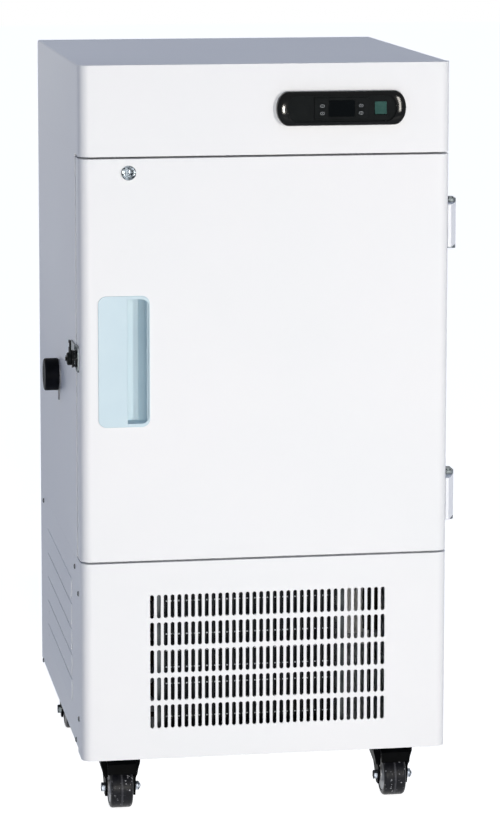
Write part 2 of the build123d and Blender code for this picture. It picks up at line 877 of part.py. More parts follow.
def make_control_bezel():
    x, z = pod_place()
    bezel = upright(x, z, pod_outline(0), front - pod_reach, front)
    bezel -= upright(x, z, pod_outline(pod_wall), front - pod_reach - 1,
                     front - pod_reach + pod_face_recess)
    inner = pod_outline(2 * pod_wall)
    bezel -= upright(x, z, inner, front - pod_reach, front + 1)
    return bezel


def controller_box(grow):
    x, z = pod_place()
    half_w = controller_width / 2 + grow
    half_h = controller_height / 2 + grow
    cx = x + controller_offset
    return cx - half_w, cx + half_w, z - half_h, z + half_h


def rocker_place():
    x, z = pod_place()
    return x + rocker_offset, z


def rocker_pin(grow):
    # the rocker's cross pin, or with grow the holes that it turns in
    x, z = rocker_place()
    reach = rocker_width / 2 + rocker_pin_reach + grow
    y = front - pod_reach + pod_face_recess + rocker_pivot_depth
    return rod((x - reach, y, z), (1, 0, 0), rocker_pin_diameter + 2 * grow, 2 * reach)


def make_control_panel():
    x, z = pod_place()
    face = front - pod_reach + pod_face_recess
    panel = upright(x, z, pod_outline(2 * pod_wall + air_gap), face, face + pod_wall)
    x0, x1, z0, z1 = controller_box(0)
    panel -= block(x0, x1, face - 1, face + pod_wall + 1, z0, z1)
    rx, rz = rocker_place()
    panel -= rocker_pin(running_gap)
    return panel - block(rx - rocker_width / 2, rx + rocker_width / 2, face - 1,
                         face + pod_wall + 1, rz - rocker_height / 2, rz + rocker_height / 2)


def key_places():
    x, z = pod_place()
    centre = x + controller_offset
    for side in (-1, 1):
        for row in (1, -1):
            yield centre + side * key_columns / 2, z - key_drop + row * key_pitch_z / 2


def make_controller():
    # panel-mounted controller: its front stands a little proud of the panel, its case reaches back
    x0, x1, z0, z1 = controller_box(-air_gap)
    face = front - pod_reach + pod_face_recess
    case_front = face - controller_proud
    case = block(x0, x1, case_front, front + header_return, z0, z1)
    cx = (x0 + x1) / 2
    cz = (z0 + z1) / 2
    case -= block(cx - display_width / 2, cx + display_width / 2, case_front - 1,
                  face + window_depth, cz - display_height / 2, cz + display_height / 2)
    for kx, kz in key_places():
        case -= block(kx - key_width / 2, kx + key_width / 2, case_front - 1, face + key_depth,
                      kz - key_height / 2, kz + key_height / 2)
    return case


def make_display_window():
    x0, x1, z0, z1 = controller_box(0)
    face = front - pod_reach + pod_face_recess
    cx = (x0 + x1) / 2
    cz = (z0 + z1) / 2
    half_w = display_width / 2 - air_gap
    half_h = display_height / 2 - air_gap
    return block(cx - half_w, cx + half_w, face - window_proud, face + window_depth,
                 cz - half_h, cz + half_h)


def make_key(kx, kz):
    face = front - pod_reach + pod_face_recess
    half_w = key_width / 2 - air_gap
    half_h = key_height / 2 - air_gap
    return block(kx - half_w, kx + half_w, face - key_proud, face + key_depth - key_travel - air_gap,
                 kz - half_h, kz + half_h)


def make_rocker():
    # a shallow vee of two faces that tilts about its middle, at rest with its upper half pressed
    x, z = rocker_place()
    face = front - pod_reach + pod_face_recess
    half_h = rocker_height / 2 - 2 * air_gap
    inner_h = half_h - rocker_taper
    profile = Polyline((face - rocker_rise, half_h), (face - rocker_middle, 0),
                       (face - rocker_rise, -half_h), (face + pod_wall, -inner_h),
                       (face + pod_wall, inner_h), close=True)
    side = Plane(origin=(x - rocker_width / 2 + air_gap, 0, z), x_dir=(0, 1, 0), z_dir=(1, 0, 0))
    rocker = extrude(side * make_face(profile), amount=rocker_width - 2 * air_gap)
    pivot = Pos(0, face + rocker_pivot_depth, z)
    return pivot * Rot(-rocker_tilt, 0, 0) * pivot.inverse() * rocker + rocker_pin(0)


# Machine compartment

def make_power_inlet():
    well_depth = 16.0
    half_w = inlet_width / 2
    half_h = inlet_height / 2
    inlet = block(inlet_x - half_w, inlet_x + half_w, back - inlet_depth, back,
                  inlet_z - half_h, inlet_z + half_h)
    inlet -= block(inlet_x - half_w / 2, inlet_x + half_w / 2, back - well_depth, back + 1,
                   inlet_z - half_h / 2, inlet_z + half_h / 2)
    for contact in (-1, 0, 1):
        x = inlet_x + contact * inlet_width / 7
        inlet += block(x - 1, x + 1, back - well_depth - 1, back - sheet, inlet_z - 3, inlet_z + 3)
    return inlet


def make_condenser_fins():
    x0 = left + condenser_left + base_sheet
    x1 = x0 + condenser_width - 2 * base_sheet
    y0 = front + condenser_front
    y1 = y0 + condenser_depth
    z0 = first_tube - tube_pitch / 2
    z1 = z0 + tube_rows * tube_pitch
    fins = block(x0, x1, y0, y1, z0, z1)
    grooves = []
    count = int((x1 - x0) // fin_pitch)
    for number in range(count):
        x = x0 + (number + 0.5) * (x1 - x0) / count
        grooves.append(block(x - fin_groove / 2, x + fin_groove / 2, y0 - 1, y0 + fin_web, z0 - 1,
                             z1 + 1))
    return fins - grooves


def make_condenser_ends():
    y0 = front + condenser_front
    for x0 in (left + condenser_left, left + condenser_left + condenser_width - base_sheet):
        yield block(x0, x0 + base_sheet, y0 - condenser_end_lip,
                    y0 + condenser_depth + condenser_end_lip, base_top, condenser_top)


def make_condenser_tubes():
    # return bends outside the end plates, joining the rows in pairs
    y = front + condenser_front + condenser_depth / 2
    for row in range(tube_rows - 1):
        outward = 1 if row % 2 == 0 else -1
        x_plate = left + condenser_left + (condenser_width if outward > 0 else 0)
        z0 = first_tube + row * tube_pitch
        z1 = z0 + tube_pitch
        corner = tube_pitch / 4
        stub_end = x_plate + outward * return_stub
        far = stub_end + outward * corner
        yield bent_tube(Polyline((x_plate, y, z0), (stub_end, y, z0), (far, y, z0 + corner),
                                 (far, y, z1 - corner), (stub_end, y, z1), (x_plate, y, z1)),
                        tube_diameter)


def fan_place():
    x = left + condenser_left + condenser_width / 2
    y = front + condenser_front + condenser_depth + shroud_depth
    z = first_tube + (tube_rows - 1) * tube_pitch / 2
    return x, y, z


def make_fan_shroud():
    x, y, z = fan_place()
    x0 = left + condenser_left
    x1 = x0 + condenser_width
    y0 = front + condenser_front + condenser_depth + condenser_end_lip
    y1 = y + shroud_lip
    shroud = block(x0, x1, y0, y1, base_top, condenser_top)
    shroud -= block(x0 + base_sheet, x1 - base_sheet, y0 - 1, y1 - base_sheet,
                    base_top + base_sheet, condenser_top - base_sheet)
    return shroud - rod((x, y, z), (0, 1, 0), fan_diameter + 2 * fan_clearance, 2 * shroud_lip)


def make_fan_motor():
    x, y, z = fan_place()
    motor_front = y + fan_motor_setback
    radius = fan_motor_diameter / 2
    motor = rod((x, motor_front, z), (0, 1, 0), fan_motor_diameter, fan_motor_length)
    motor += rod((x, y, z), (0, 1, 0), fan_shaft_diameter - 2 * running_gap, fan_motor_setback)
    bracket = motor_front + fan_motor_length / 2
    motor += block(x - radius, x + radius, bracket, bracket + fan_foot_sheet, base_top,
                   z - 0.8 * radius)
    return motor + block(x - radius, x + radius, motor_front, motor_front + fan_motor_length,
                         base_top, base_top + fan_foot_sheet)


def make_fan_wheel():
    x, y, z = fan_place()
    hub_front = y - condenser_end_lip
    wheel = rod((x, hub_front, z), (0, 1, 0), fan_hub_diameter, fan_hub_depth)
    root = fan_hub_diameter / 2 - fan_blade_sheet
    length = fan_diameter / 2 - root
    blade = Rot(fan_blade_twist, 0, 0) * Box(length, fan_blade_sheet, fan_blade_chord)
    for number in range(fan_blades):
        turn = Rot(0, number * 360 / fan_blades, 0)
        wheel += Pos(x, hub_front + fan_hub_depth / 2, z) * turn * Pos(root + length / 2, 0, 0) * blade
    rim = rod((x, hub_front - fan_hub_depth, z), (0, 1, 0), fan_diameter, 3 * fan_hub_depth)
    return (wheel & rim) - rod((x, y, z), (0, 1, 0), fan_shaft_diameter, fan_motor_setback)


def compressor_place():
    return middle, front + compressor_depth


def make_compressor():
    x, y = compressor_place()
    z0 = base_top + compressor_foot
    r = compressor_diameter / 2
    shell = Pos(0, 0, compressor_skirt) * RegularPolygon(r, compressor_sides)
    shell = extrude(shell, amount=compressor_height - compressor_skirt - compressor_dome)
    top = compressor_height - compressor_dome
    for radius, bottom, rise in ((0.8 * r, 0, compressor_skirt), (0.8 * r, top, 0.6 * compressor_dome),
                                 (0.5 * r, top, compressor_dome)):
        shell += extrude(Pos(0, 0, bottom) * RegularPolygon(radius, compressor_sides), amount=rise)
    shell = Pos(x, y, z0) * shell
    shell += block(x - r * 1.1, x + r * 1.1, y - r * 0.9, y + r * 0.9, z0 - base_sheet, z0)
    half = terminal_box_depth / 2
    return shell + block(x + r * 0.8, x + r * 0.8 + terminal_box_width, y - half, y + half,
                         z0 + terminal_box_height, z0 + 2 * terminal_box_height)


def make_compressor_feet():
    x, y = compressor_place()
    r = compressor_diameter / 2
    for sx in (-1, 1):
        for sy in (-1, 1):
            foot = Pos(x + sx * r * 0.95, y + sy * r * 0.75, base_top)
            foot *= RegularPolygon(foot_diameter / 2, compressor_sides)
            yield extrude(foot, amount=compressor_foot - base_sheet)


def make_refrigerant_lines():
    # compressor to the condenser's top tube, its lowest tube to the drier, suction line to the body
    x, y = compressor_place()
    r = compressor_diameter / 2
    shoulder = base_top + compressor_foot + compressor_height - pipe_drop
    above = shoulder + pipe_rise
    cx = left + condenser_left
    cy = front + condenser_front + condenser_depth / 2
    top_tube = first_tube + (tube_rows - 1) * tube_pitch
    low = base_top + 2 * pipe_diameter
    pipe_x = cx - pipe_offset
    liquid_x = cx - liquid_offset
    liquid_y = front + pipe_offset
    drier_x, drier_y, drier_low = drier_place()
    discharge = Polyline((x - r * 0.5, y - r * 0.5, shoulder), (x - r * 0.5, y - r * 0.5, above),
                         (pipe_x, y - r * 0.5, above), (pipe_x, cy, above),
                         (pipe_x, cy, top_tube), (cx, cy, top_tube))
    suction = Polyline((x + r * 0.5, y + r * 0.3, shoulder), (x + r * 0.5, y + r * 0.3, body_bottom))
    liquid = Polyline((cx, cy, first_tube), (liquid_x, cy, first_tube), (liquid_x, cy, low),
                      (liquid_x, liquid_y, low), (drier_x, liquid_y, low), (drier_x, drier_y, low),
                      (drier_x, drier_y, drier_low))
    for path in (discharge, suction, liquid):
        yield bent_tube(path, pipe_diameter) - make_compressor()


def drier_place():
    return left + drier_offset, front + drier_depth, drier_bottom


def make_filter_drier():
    return rod(drier_place(), (0, 0, 1), drier_diameter, drier_length)


def make_electrical_box():
    x0 = left + box_offset
    y0 = cabinet_face + box_setback
    return block(x0, x0 + box_width, y0, y0 + box_depth, body_top, body_top + box_height)


# Castors

def castor_places():
    for name, x, axle_y in (("front_left", left + front_castor_inset, front + front_axle_depth),
                            ("front_right", right - front_castor_inset, front + front_axle_depth),
                            ("rear_left", left + rear_castor_inset, front + rear_axle_depth),
                            ("rear_right", right - rear_castor_inset, front + rear_axle_depth)):
        yield name, x, axle_y + swivel_trail


def make_castor_plate(x, y):
    half = castor_plate / 2
    top = base_bottom
    plate = block(x - half, x + half, y - half, y + half, top - castor_sheet, top)
    race_top = top - castor_sheet
    plate += rod((x, y, race_top - race_height), (0, 0, 1), race_diameter, race_height)
    crown_top = race_top - race_height - swivel_gap
    pin_length = race_height + 2 * swivel_gap + 2 * castor_sheet
    plate += rod((x, y, race_top - pin_length), (0, 0, 1), kingpin_diameter, pin_length)
    head_top = crown_top - castor_sheet - swivel_gap
    return plate + rod((x, y, head_top), (0, 0, -1), kingpin_head_diameter, kingpin_head)


def crown_top_level():
    return base_bottom - castor_sheet - race_height - swivel_gap


def make_fork(x, y, braked):
    # the crown's legs lean in to the axle; seen from the side they run forward to it
    top = crown_top_level()
    axle_z = wheel_diameter / 2
    crown = crown_width / 2
    foot = fork_foot_width / 2
    knee = top - fork_knee_drop
    low = axle_z - fork_foot_below_axle
    ankle = axle_z + fork_foot_above_axle
    outer = Polyline((-crown, top), (crown, top), (crown, knee), (foot, ankle), (foot, low),
                     (-foot, low), (-foot, ankle), (-crown, knee), close=True)
    t = castor_sheet
    inner = Polyline((-crown + t, top - t), (crown - t, top - t), (crown - t, knee),
                     (foot - t, ankle), (foot - t, low - t), (-foot + t, low - t),
                     (-foot + t, ankle), (-crown + t, knee), close=True)
    span = crown_width + 2 * swivel_trail
    across = Plane(origin=(x, y - span / 2, 0), x_dir=(1, 0, 0), z_dir=(0, -1, 0))
    body = extrude(across * (make_face(outer) - make_face(inner)), amount=-span)
    axle_y = -swivel_trail
    toe = fork_toe
    side = make_face(Polyline((-fork_crown_front, top), (fork_crown_back, top),
                              (fork_crown_back, top - fork_crown_edge),
                              (axle_y + toe, axle_z - toe / 3), (axle_y + toe / 2, low),
                              (axle_y - toe / 2, low), (axle_y - toe, axle_z + toe / 3),
                              (-fork_crown_front, top - fork_heel_drop), close=True))
    outside = x - crown_width
    along = Plane(origin=(outside, y, 0), x_dir=(0, 1, 0), z_dir=(1, 0, 0))
    fork = body & extrude(along * side, amount=2 * crown_width)
    fork -= rod((x, y, knee), (0, 0, 1), kingpin_diameter + 4 * running_gap, 2 * fork_knee_drop)
    fork -= rod((outside, y + axle_y, axle_z), (1, 0, 0), axle_diameter, 2 * crown_width)
    if braked:
        py, pz = pedal_pivot(y)
        pin_bore = pedal_pin_diameter + 2 * running_gap
        fork -= rod((outside, py, pz), (1, 0, 0), pin_bore, 2 * crown_width)
    return fork


def make_axle_bolt(x, y):
    axle_z = wheel_diameter / 2
    axle_y = y - swivel_trail
    foot = fork_foot_width / 2
    shank = rod((x - foot, axle_y, axle_z), (1, 0, 0), axle_diameter, fork_foot_width)
    hexagon = RegularPolygon(axle_head_diameter / 2, 6)
    for x0 in (x - foot - axle_head, x + foot):
        side = Plane(origin=(x0, axle_y, axle_z), z_dir=(1, 0, 0))
        shank += extrude(side * hexagon, amount=axle_head)
    return shank


def make_wheel(x, y):
    radius = wheel_diameter / 2
    half = wheel_width / 2
    hub = wheel_hub_width / 2
    bore = axle_diameter / 2 + running_gap
    boss = wheel_hub_diameter / 2
    profile = Polyline((bore, -hub), (boss, -hub), (boss, -half), (radius, -half),
                       (radius, half), (boss, half), (boss, hub), (bore, hub), close=True)
    turned = revolve(Plane.XY * make_face(profile), Axis.Y)
    return Pos(x, y - swivel_trail, radius) * Rot(0, 0, 90) * turned


def pedal_pivot(y):
    return y - swivel_trail - pedal_setback, crown_top_level() - pedal_below_crown


def make_pedal(x, y):
    # hangs on a cross pin in the crown's front; pressing it swings its shoe towards the tread
    py, pz = pedal_pivot(y)
    half = pedal_sheet / 2
    side = make_face(Polyline((py + half, pz + half), (py - pedal_reach / 2, pz + half),
                              (py - pedal_reach + half, pz - half),
                              (py - pedal_reach, pz - pedal_drop),
                              (py - pedal_reach + half, pz - pedal_drop),
                              (py - pedal_reach + 2 * half, pz - 2 * half),
                              (py - pedal_reach / 2, pz - half), (py + half, pz - half), close=True))
    plane = Plane(origin=(x - pedal_width / 2, 0, 0), x_dir=(0, 1, 0), z_dir=(1, 0, 0))
    pedal = extrude(plane * side, amount=pedal_width)
    return pedal + rod((x - crown_width / 2 - 1, py, pz), (1, 0, 0), pedal_pin_diameter,
                       crown_width + 2)


def write_cabinet():
    save(make_top_cover(), "top_cover")
    save(make_header_panel(), "header_panel")
    save(make_side_panel(left) - port_hole(), "side_panel_left")
    save(make_side_panel(right - sheet), "side_panel_right")
    save(make_back_panel(), "back_panel")
    save(make_front_frame(), "front_frame")
    save(make_breaker_frame(), "breaker_frame")
    save(group(make_body_end_sheets()), "body_end_sheets")
    save(make_cabinet_insulation(), "cabinet_insulation")
    save(make_inner_liner(), "inner_liner")
    save(group(make_shelf(number) for number in range(shelf_count)), "shelves")
    save(make_evaporator_coil(), "evaporator_coil")
    save(make_lower_panel(), "grille_panel")
    save(make_service_cover(left, -1), "service_cover_left")
    save(make_service_cover(right, 1), "service_cover_right")
    save(make_base_plate(), "base_plate")
    save(make_port_sleeve(), "port_sleeve")
    save(make_port_plug(), "port_plug")


def write_door():
    save(make_door_skin(), "door_skin")
    save(make_door_liner(), "door_liner")
    save(make_door_insulation(), "door_insulation")
    save(make_door_gasket(), "door_gasket")
    save(make_handle_insert(), "handle_insert")
    save(make_lock_housing(), "lock_housing")
    save(make_lock_barrel(), "lock_barrel")
    levels = hinge_levels()
    save(group(make_hinge_base(z) for z in levels), "hinge_bases")
    save(group(make_hinge_pin(z) for z in levels), "hinge_pins")
    save(group(make_hinge_leaf(z) for z in levels), "hinge_leaves")
    save(make_latch_base(), "latch_base")
    save(make_latch_knob(), "latch_knob")
    save(make_latch_keeper(), "latch_keeper")


def write_controls():
    save(make_control_bezel(), "control_bezel")
    save(make_control_panel(), "control_panel")
    save(group([make_controller(), make_display_window()]), "controller")
    for number, (kx, kz) in enumerate(key_places()):
        save(make_key(kx, kz), f"key_{number + 1}")
    save(make_rocker(), "power_rocker")
    save(make_electrical_box(), "electrical_box")
    save(make_power_inlet(), "power_inlet")


def write_machine():
    save(group([make_condenser_fins(), *make_condenser_ends()]), "condenser_core")
    save(group(make_condenser_tubes()), "condenser_return_bends")
    save(make_fan_shroud(), "fan_shroud")
    save(make_fan_motor(), "fan_motor")
    save(make_fan_wheel(), "fan_blades")
    save(make_compressor(), "compressor")
    save(group(make_compressor_feet()), "compressor_feet")
    save(group([*make_refrigerant_lines(), make_filter_drier()]), "refrigerant_lines")


def write_castors():
    places = list(castor_places())
    save(group(make_castor_plate(x, y) for name, x, y in places), "castor_plates")
    for name, x, y in places:
        braked = name.startswith("front")
        save(group([make_fork(x, y, braked), make_axle_bolt(x, y)]), f"castor_fork_{name}")
        save(make_wheel(x, y), f"castor_wheel_{name}")
        if braked:
            save(make_pedal(x, y), f"brake_pedal_{name}")


write_cabinet()
write_door()
write_controls()
write_machine()
write_castors()
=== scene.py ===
import math
import bmesh
import bpy
from mathutils import Matrix, Vector


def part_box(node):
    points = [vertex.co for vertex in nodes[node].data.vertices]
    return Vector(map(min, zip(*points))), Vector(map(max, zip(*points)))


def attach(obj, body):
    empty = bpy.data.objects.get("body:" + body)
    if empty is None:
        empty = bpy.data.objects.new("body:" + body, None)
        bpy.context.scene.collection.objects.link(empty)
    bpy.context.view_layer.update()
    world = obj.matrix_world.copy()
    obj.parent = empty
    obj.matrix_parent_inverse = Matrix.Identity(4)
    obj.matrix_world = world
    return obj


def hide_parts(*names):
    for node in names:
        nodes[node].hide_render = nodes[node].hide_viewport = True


# Under-bench laboratory freezer: cabinet, door, control pod, side latch and castors.
# Lengths are written in millimetres and turned to metres when a mesh is made.

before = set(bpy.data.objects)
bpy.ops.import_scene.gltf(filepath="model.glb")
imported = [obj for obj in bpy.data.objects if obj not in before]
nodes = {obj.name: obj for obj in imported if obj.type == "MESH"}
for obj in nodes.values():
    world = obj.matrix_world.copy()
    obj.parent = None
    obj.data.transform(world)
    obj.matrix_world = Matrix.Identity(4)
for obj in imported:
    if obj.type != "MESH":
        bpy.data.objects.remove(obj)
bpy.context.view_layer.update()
mm = 0.001
print("frame loaded", len(nodes), "nodes")

cabinet = {
    "left": -273.0, "right": 277.0, "front": -293.5, "middle": 2.0, "sheet": 1.2,
    "corner": 16.0, "panelLow": 95.5, "panelHigh": 393.5,
}
sides = (("Left", cabinet["left"], -1), ("Right", cabinet["right"], 1))
hair = 0.02  # keeps apart two faces that would share a plane


def toLinear(hexColour):
    value = hexColour.lstrip("#")
    channels = [int(value[i:i + 2], 16) / 255 for i in (0, 2, 4)]
    straight = [c / 12.92 if c <= 0.04045 else ((c + 0.055) / 1.055) ** 2.4 for c in channels]
    return (*straight, 1.0)


def addNode(tree, kind, settings=None, links=None):
    node = tree.nodes.new(kind)
    for name, value in (settings or {}).items():
        if isinstance(name, int) or name in node.inputs:
            node.inputs[name].default_value = value
        else:
            setattr(node, name, value)
    for name, socket in (links or {}).items():
        tree.links.new(socket, node.inputs[name])
    return node


def newMaterial(name):
    material = bpy.data.materials.new(name)
    material.use_nodes = True
    tree = material.node_tree
    tree.nodes.clear()
    shader = addNode(tree, "ShaderNodeBsdfPrincipled")
    addNode(tree, "ShaderNodeOutputMaterial", links={"Surface": shader.outputs[0]})
    return material, tree, shader


# Every finish: base colour drifting slowly to a second one, roughness that drifts with it by
# spread either way, surface grain as bump, soft edges. patch and grain are sizes in mm, depth
# is the grain's height in mm, edge the edge radius in mm, paintedGlint a third colour painted as
# glints on the few highest spots of the drift, above paintedGlintFrom.
plainLook = {
    "colour": "#808080", "drift": None, "patch": 60.0, "roughness": 0.5, "spread": 0.04,
    "metallic": 0.0, "grain": 1.0, "depth": 0.01, "stretch": (1.0, 1.0, 1.0), "edge": 0.6,
    "detail": 3.0, "driftRange": (0.35, 0.65), "paintedGlint": None, "paintedGlintFrom": 0.7, "shader": {},
}


def makeFinish(name, look):
    look = {**plainLook, **look}
    material, tree, shader = newMaterial(name)
    place = addNode(tree, "ShaderNodeTexCoord").outputs["Object"]
    slow = addNode(tree, "ShaderNodeTexNoise", {"Scale": 1000 / look["patch"], "Detail": 2.0},
                   {"Vector": place})
    if look["drift"]:
        tones = addNode(tree, "ShaderNodeValToRGB", links={"Fac": slow.outputs["Fac"]})
        stops = tones.color_ramp.elements
        for stop, position, tone in zip(stops, look["driftRange"], ("colour", "drift")):
            stop.position = position
            stop.color = toLinear(look[tone])
        # the third colour's light specks are painted glints
        if look["paintedGlint"]:
            stops.new(look["paintedGlintFrom"]).color = toLinear(look["paintedGlint"])
        tree.links.new(tones.outputs["Color"], shader.inputs["Base Color"])
    else:
        shader.inputs["Base Color"].default_value = toLinear(look["colour"])
    rough = addNode(tree, "ShaderNodeMapRange", {
        "To Min": max(look["roughness"] - look["spread"], 0.02),
        "To Max": look["roughness"] + look["spread"]}, {"Value": slow.outputs["Fac"]})
    tree.links.new(rough.outputs["Result"], shader.inputs["Roughness"])
    shader.inputs["Metallic"].default_value = look["metallic"]
    for socket, value in look["shader"].items():
        shader.inputs[socket].default_value = value
    stretched = addNode(tree, "ShaderNodeMapping", {"Scale": look["stretch"]}, {"Vector": place})
    grain = addNode(tree, "ShaderNodeTexNoise",
                    {"Scale": 1000 / look["grain"], "Detail": look["detail"]},
                    {"Vector": stretched.outputs["Vector"]})
    soft = addNode(tree, "ShaderNodeBevel", {"Radius": look["edge"] * mm, "samples": 4})
    bump = addNode(tree, "ShaderNodeBump", {"Strength": 1.0, "Distance": look["depth"] * mm},
                   {"Height": grain.outputs["Fac"], "Normal": soft.outputs["Normal"]})
    tree.links.new(bump.outputs["Normal"], shader.inputs["Normal"])
    return material


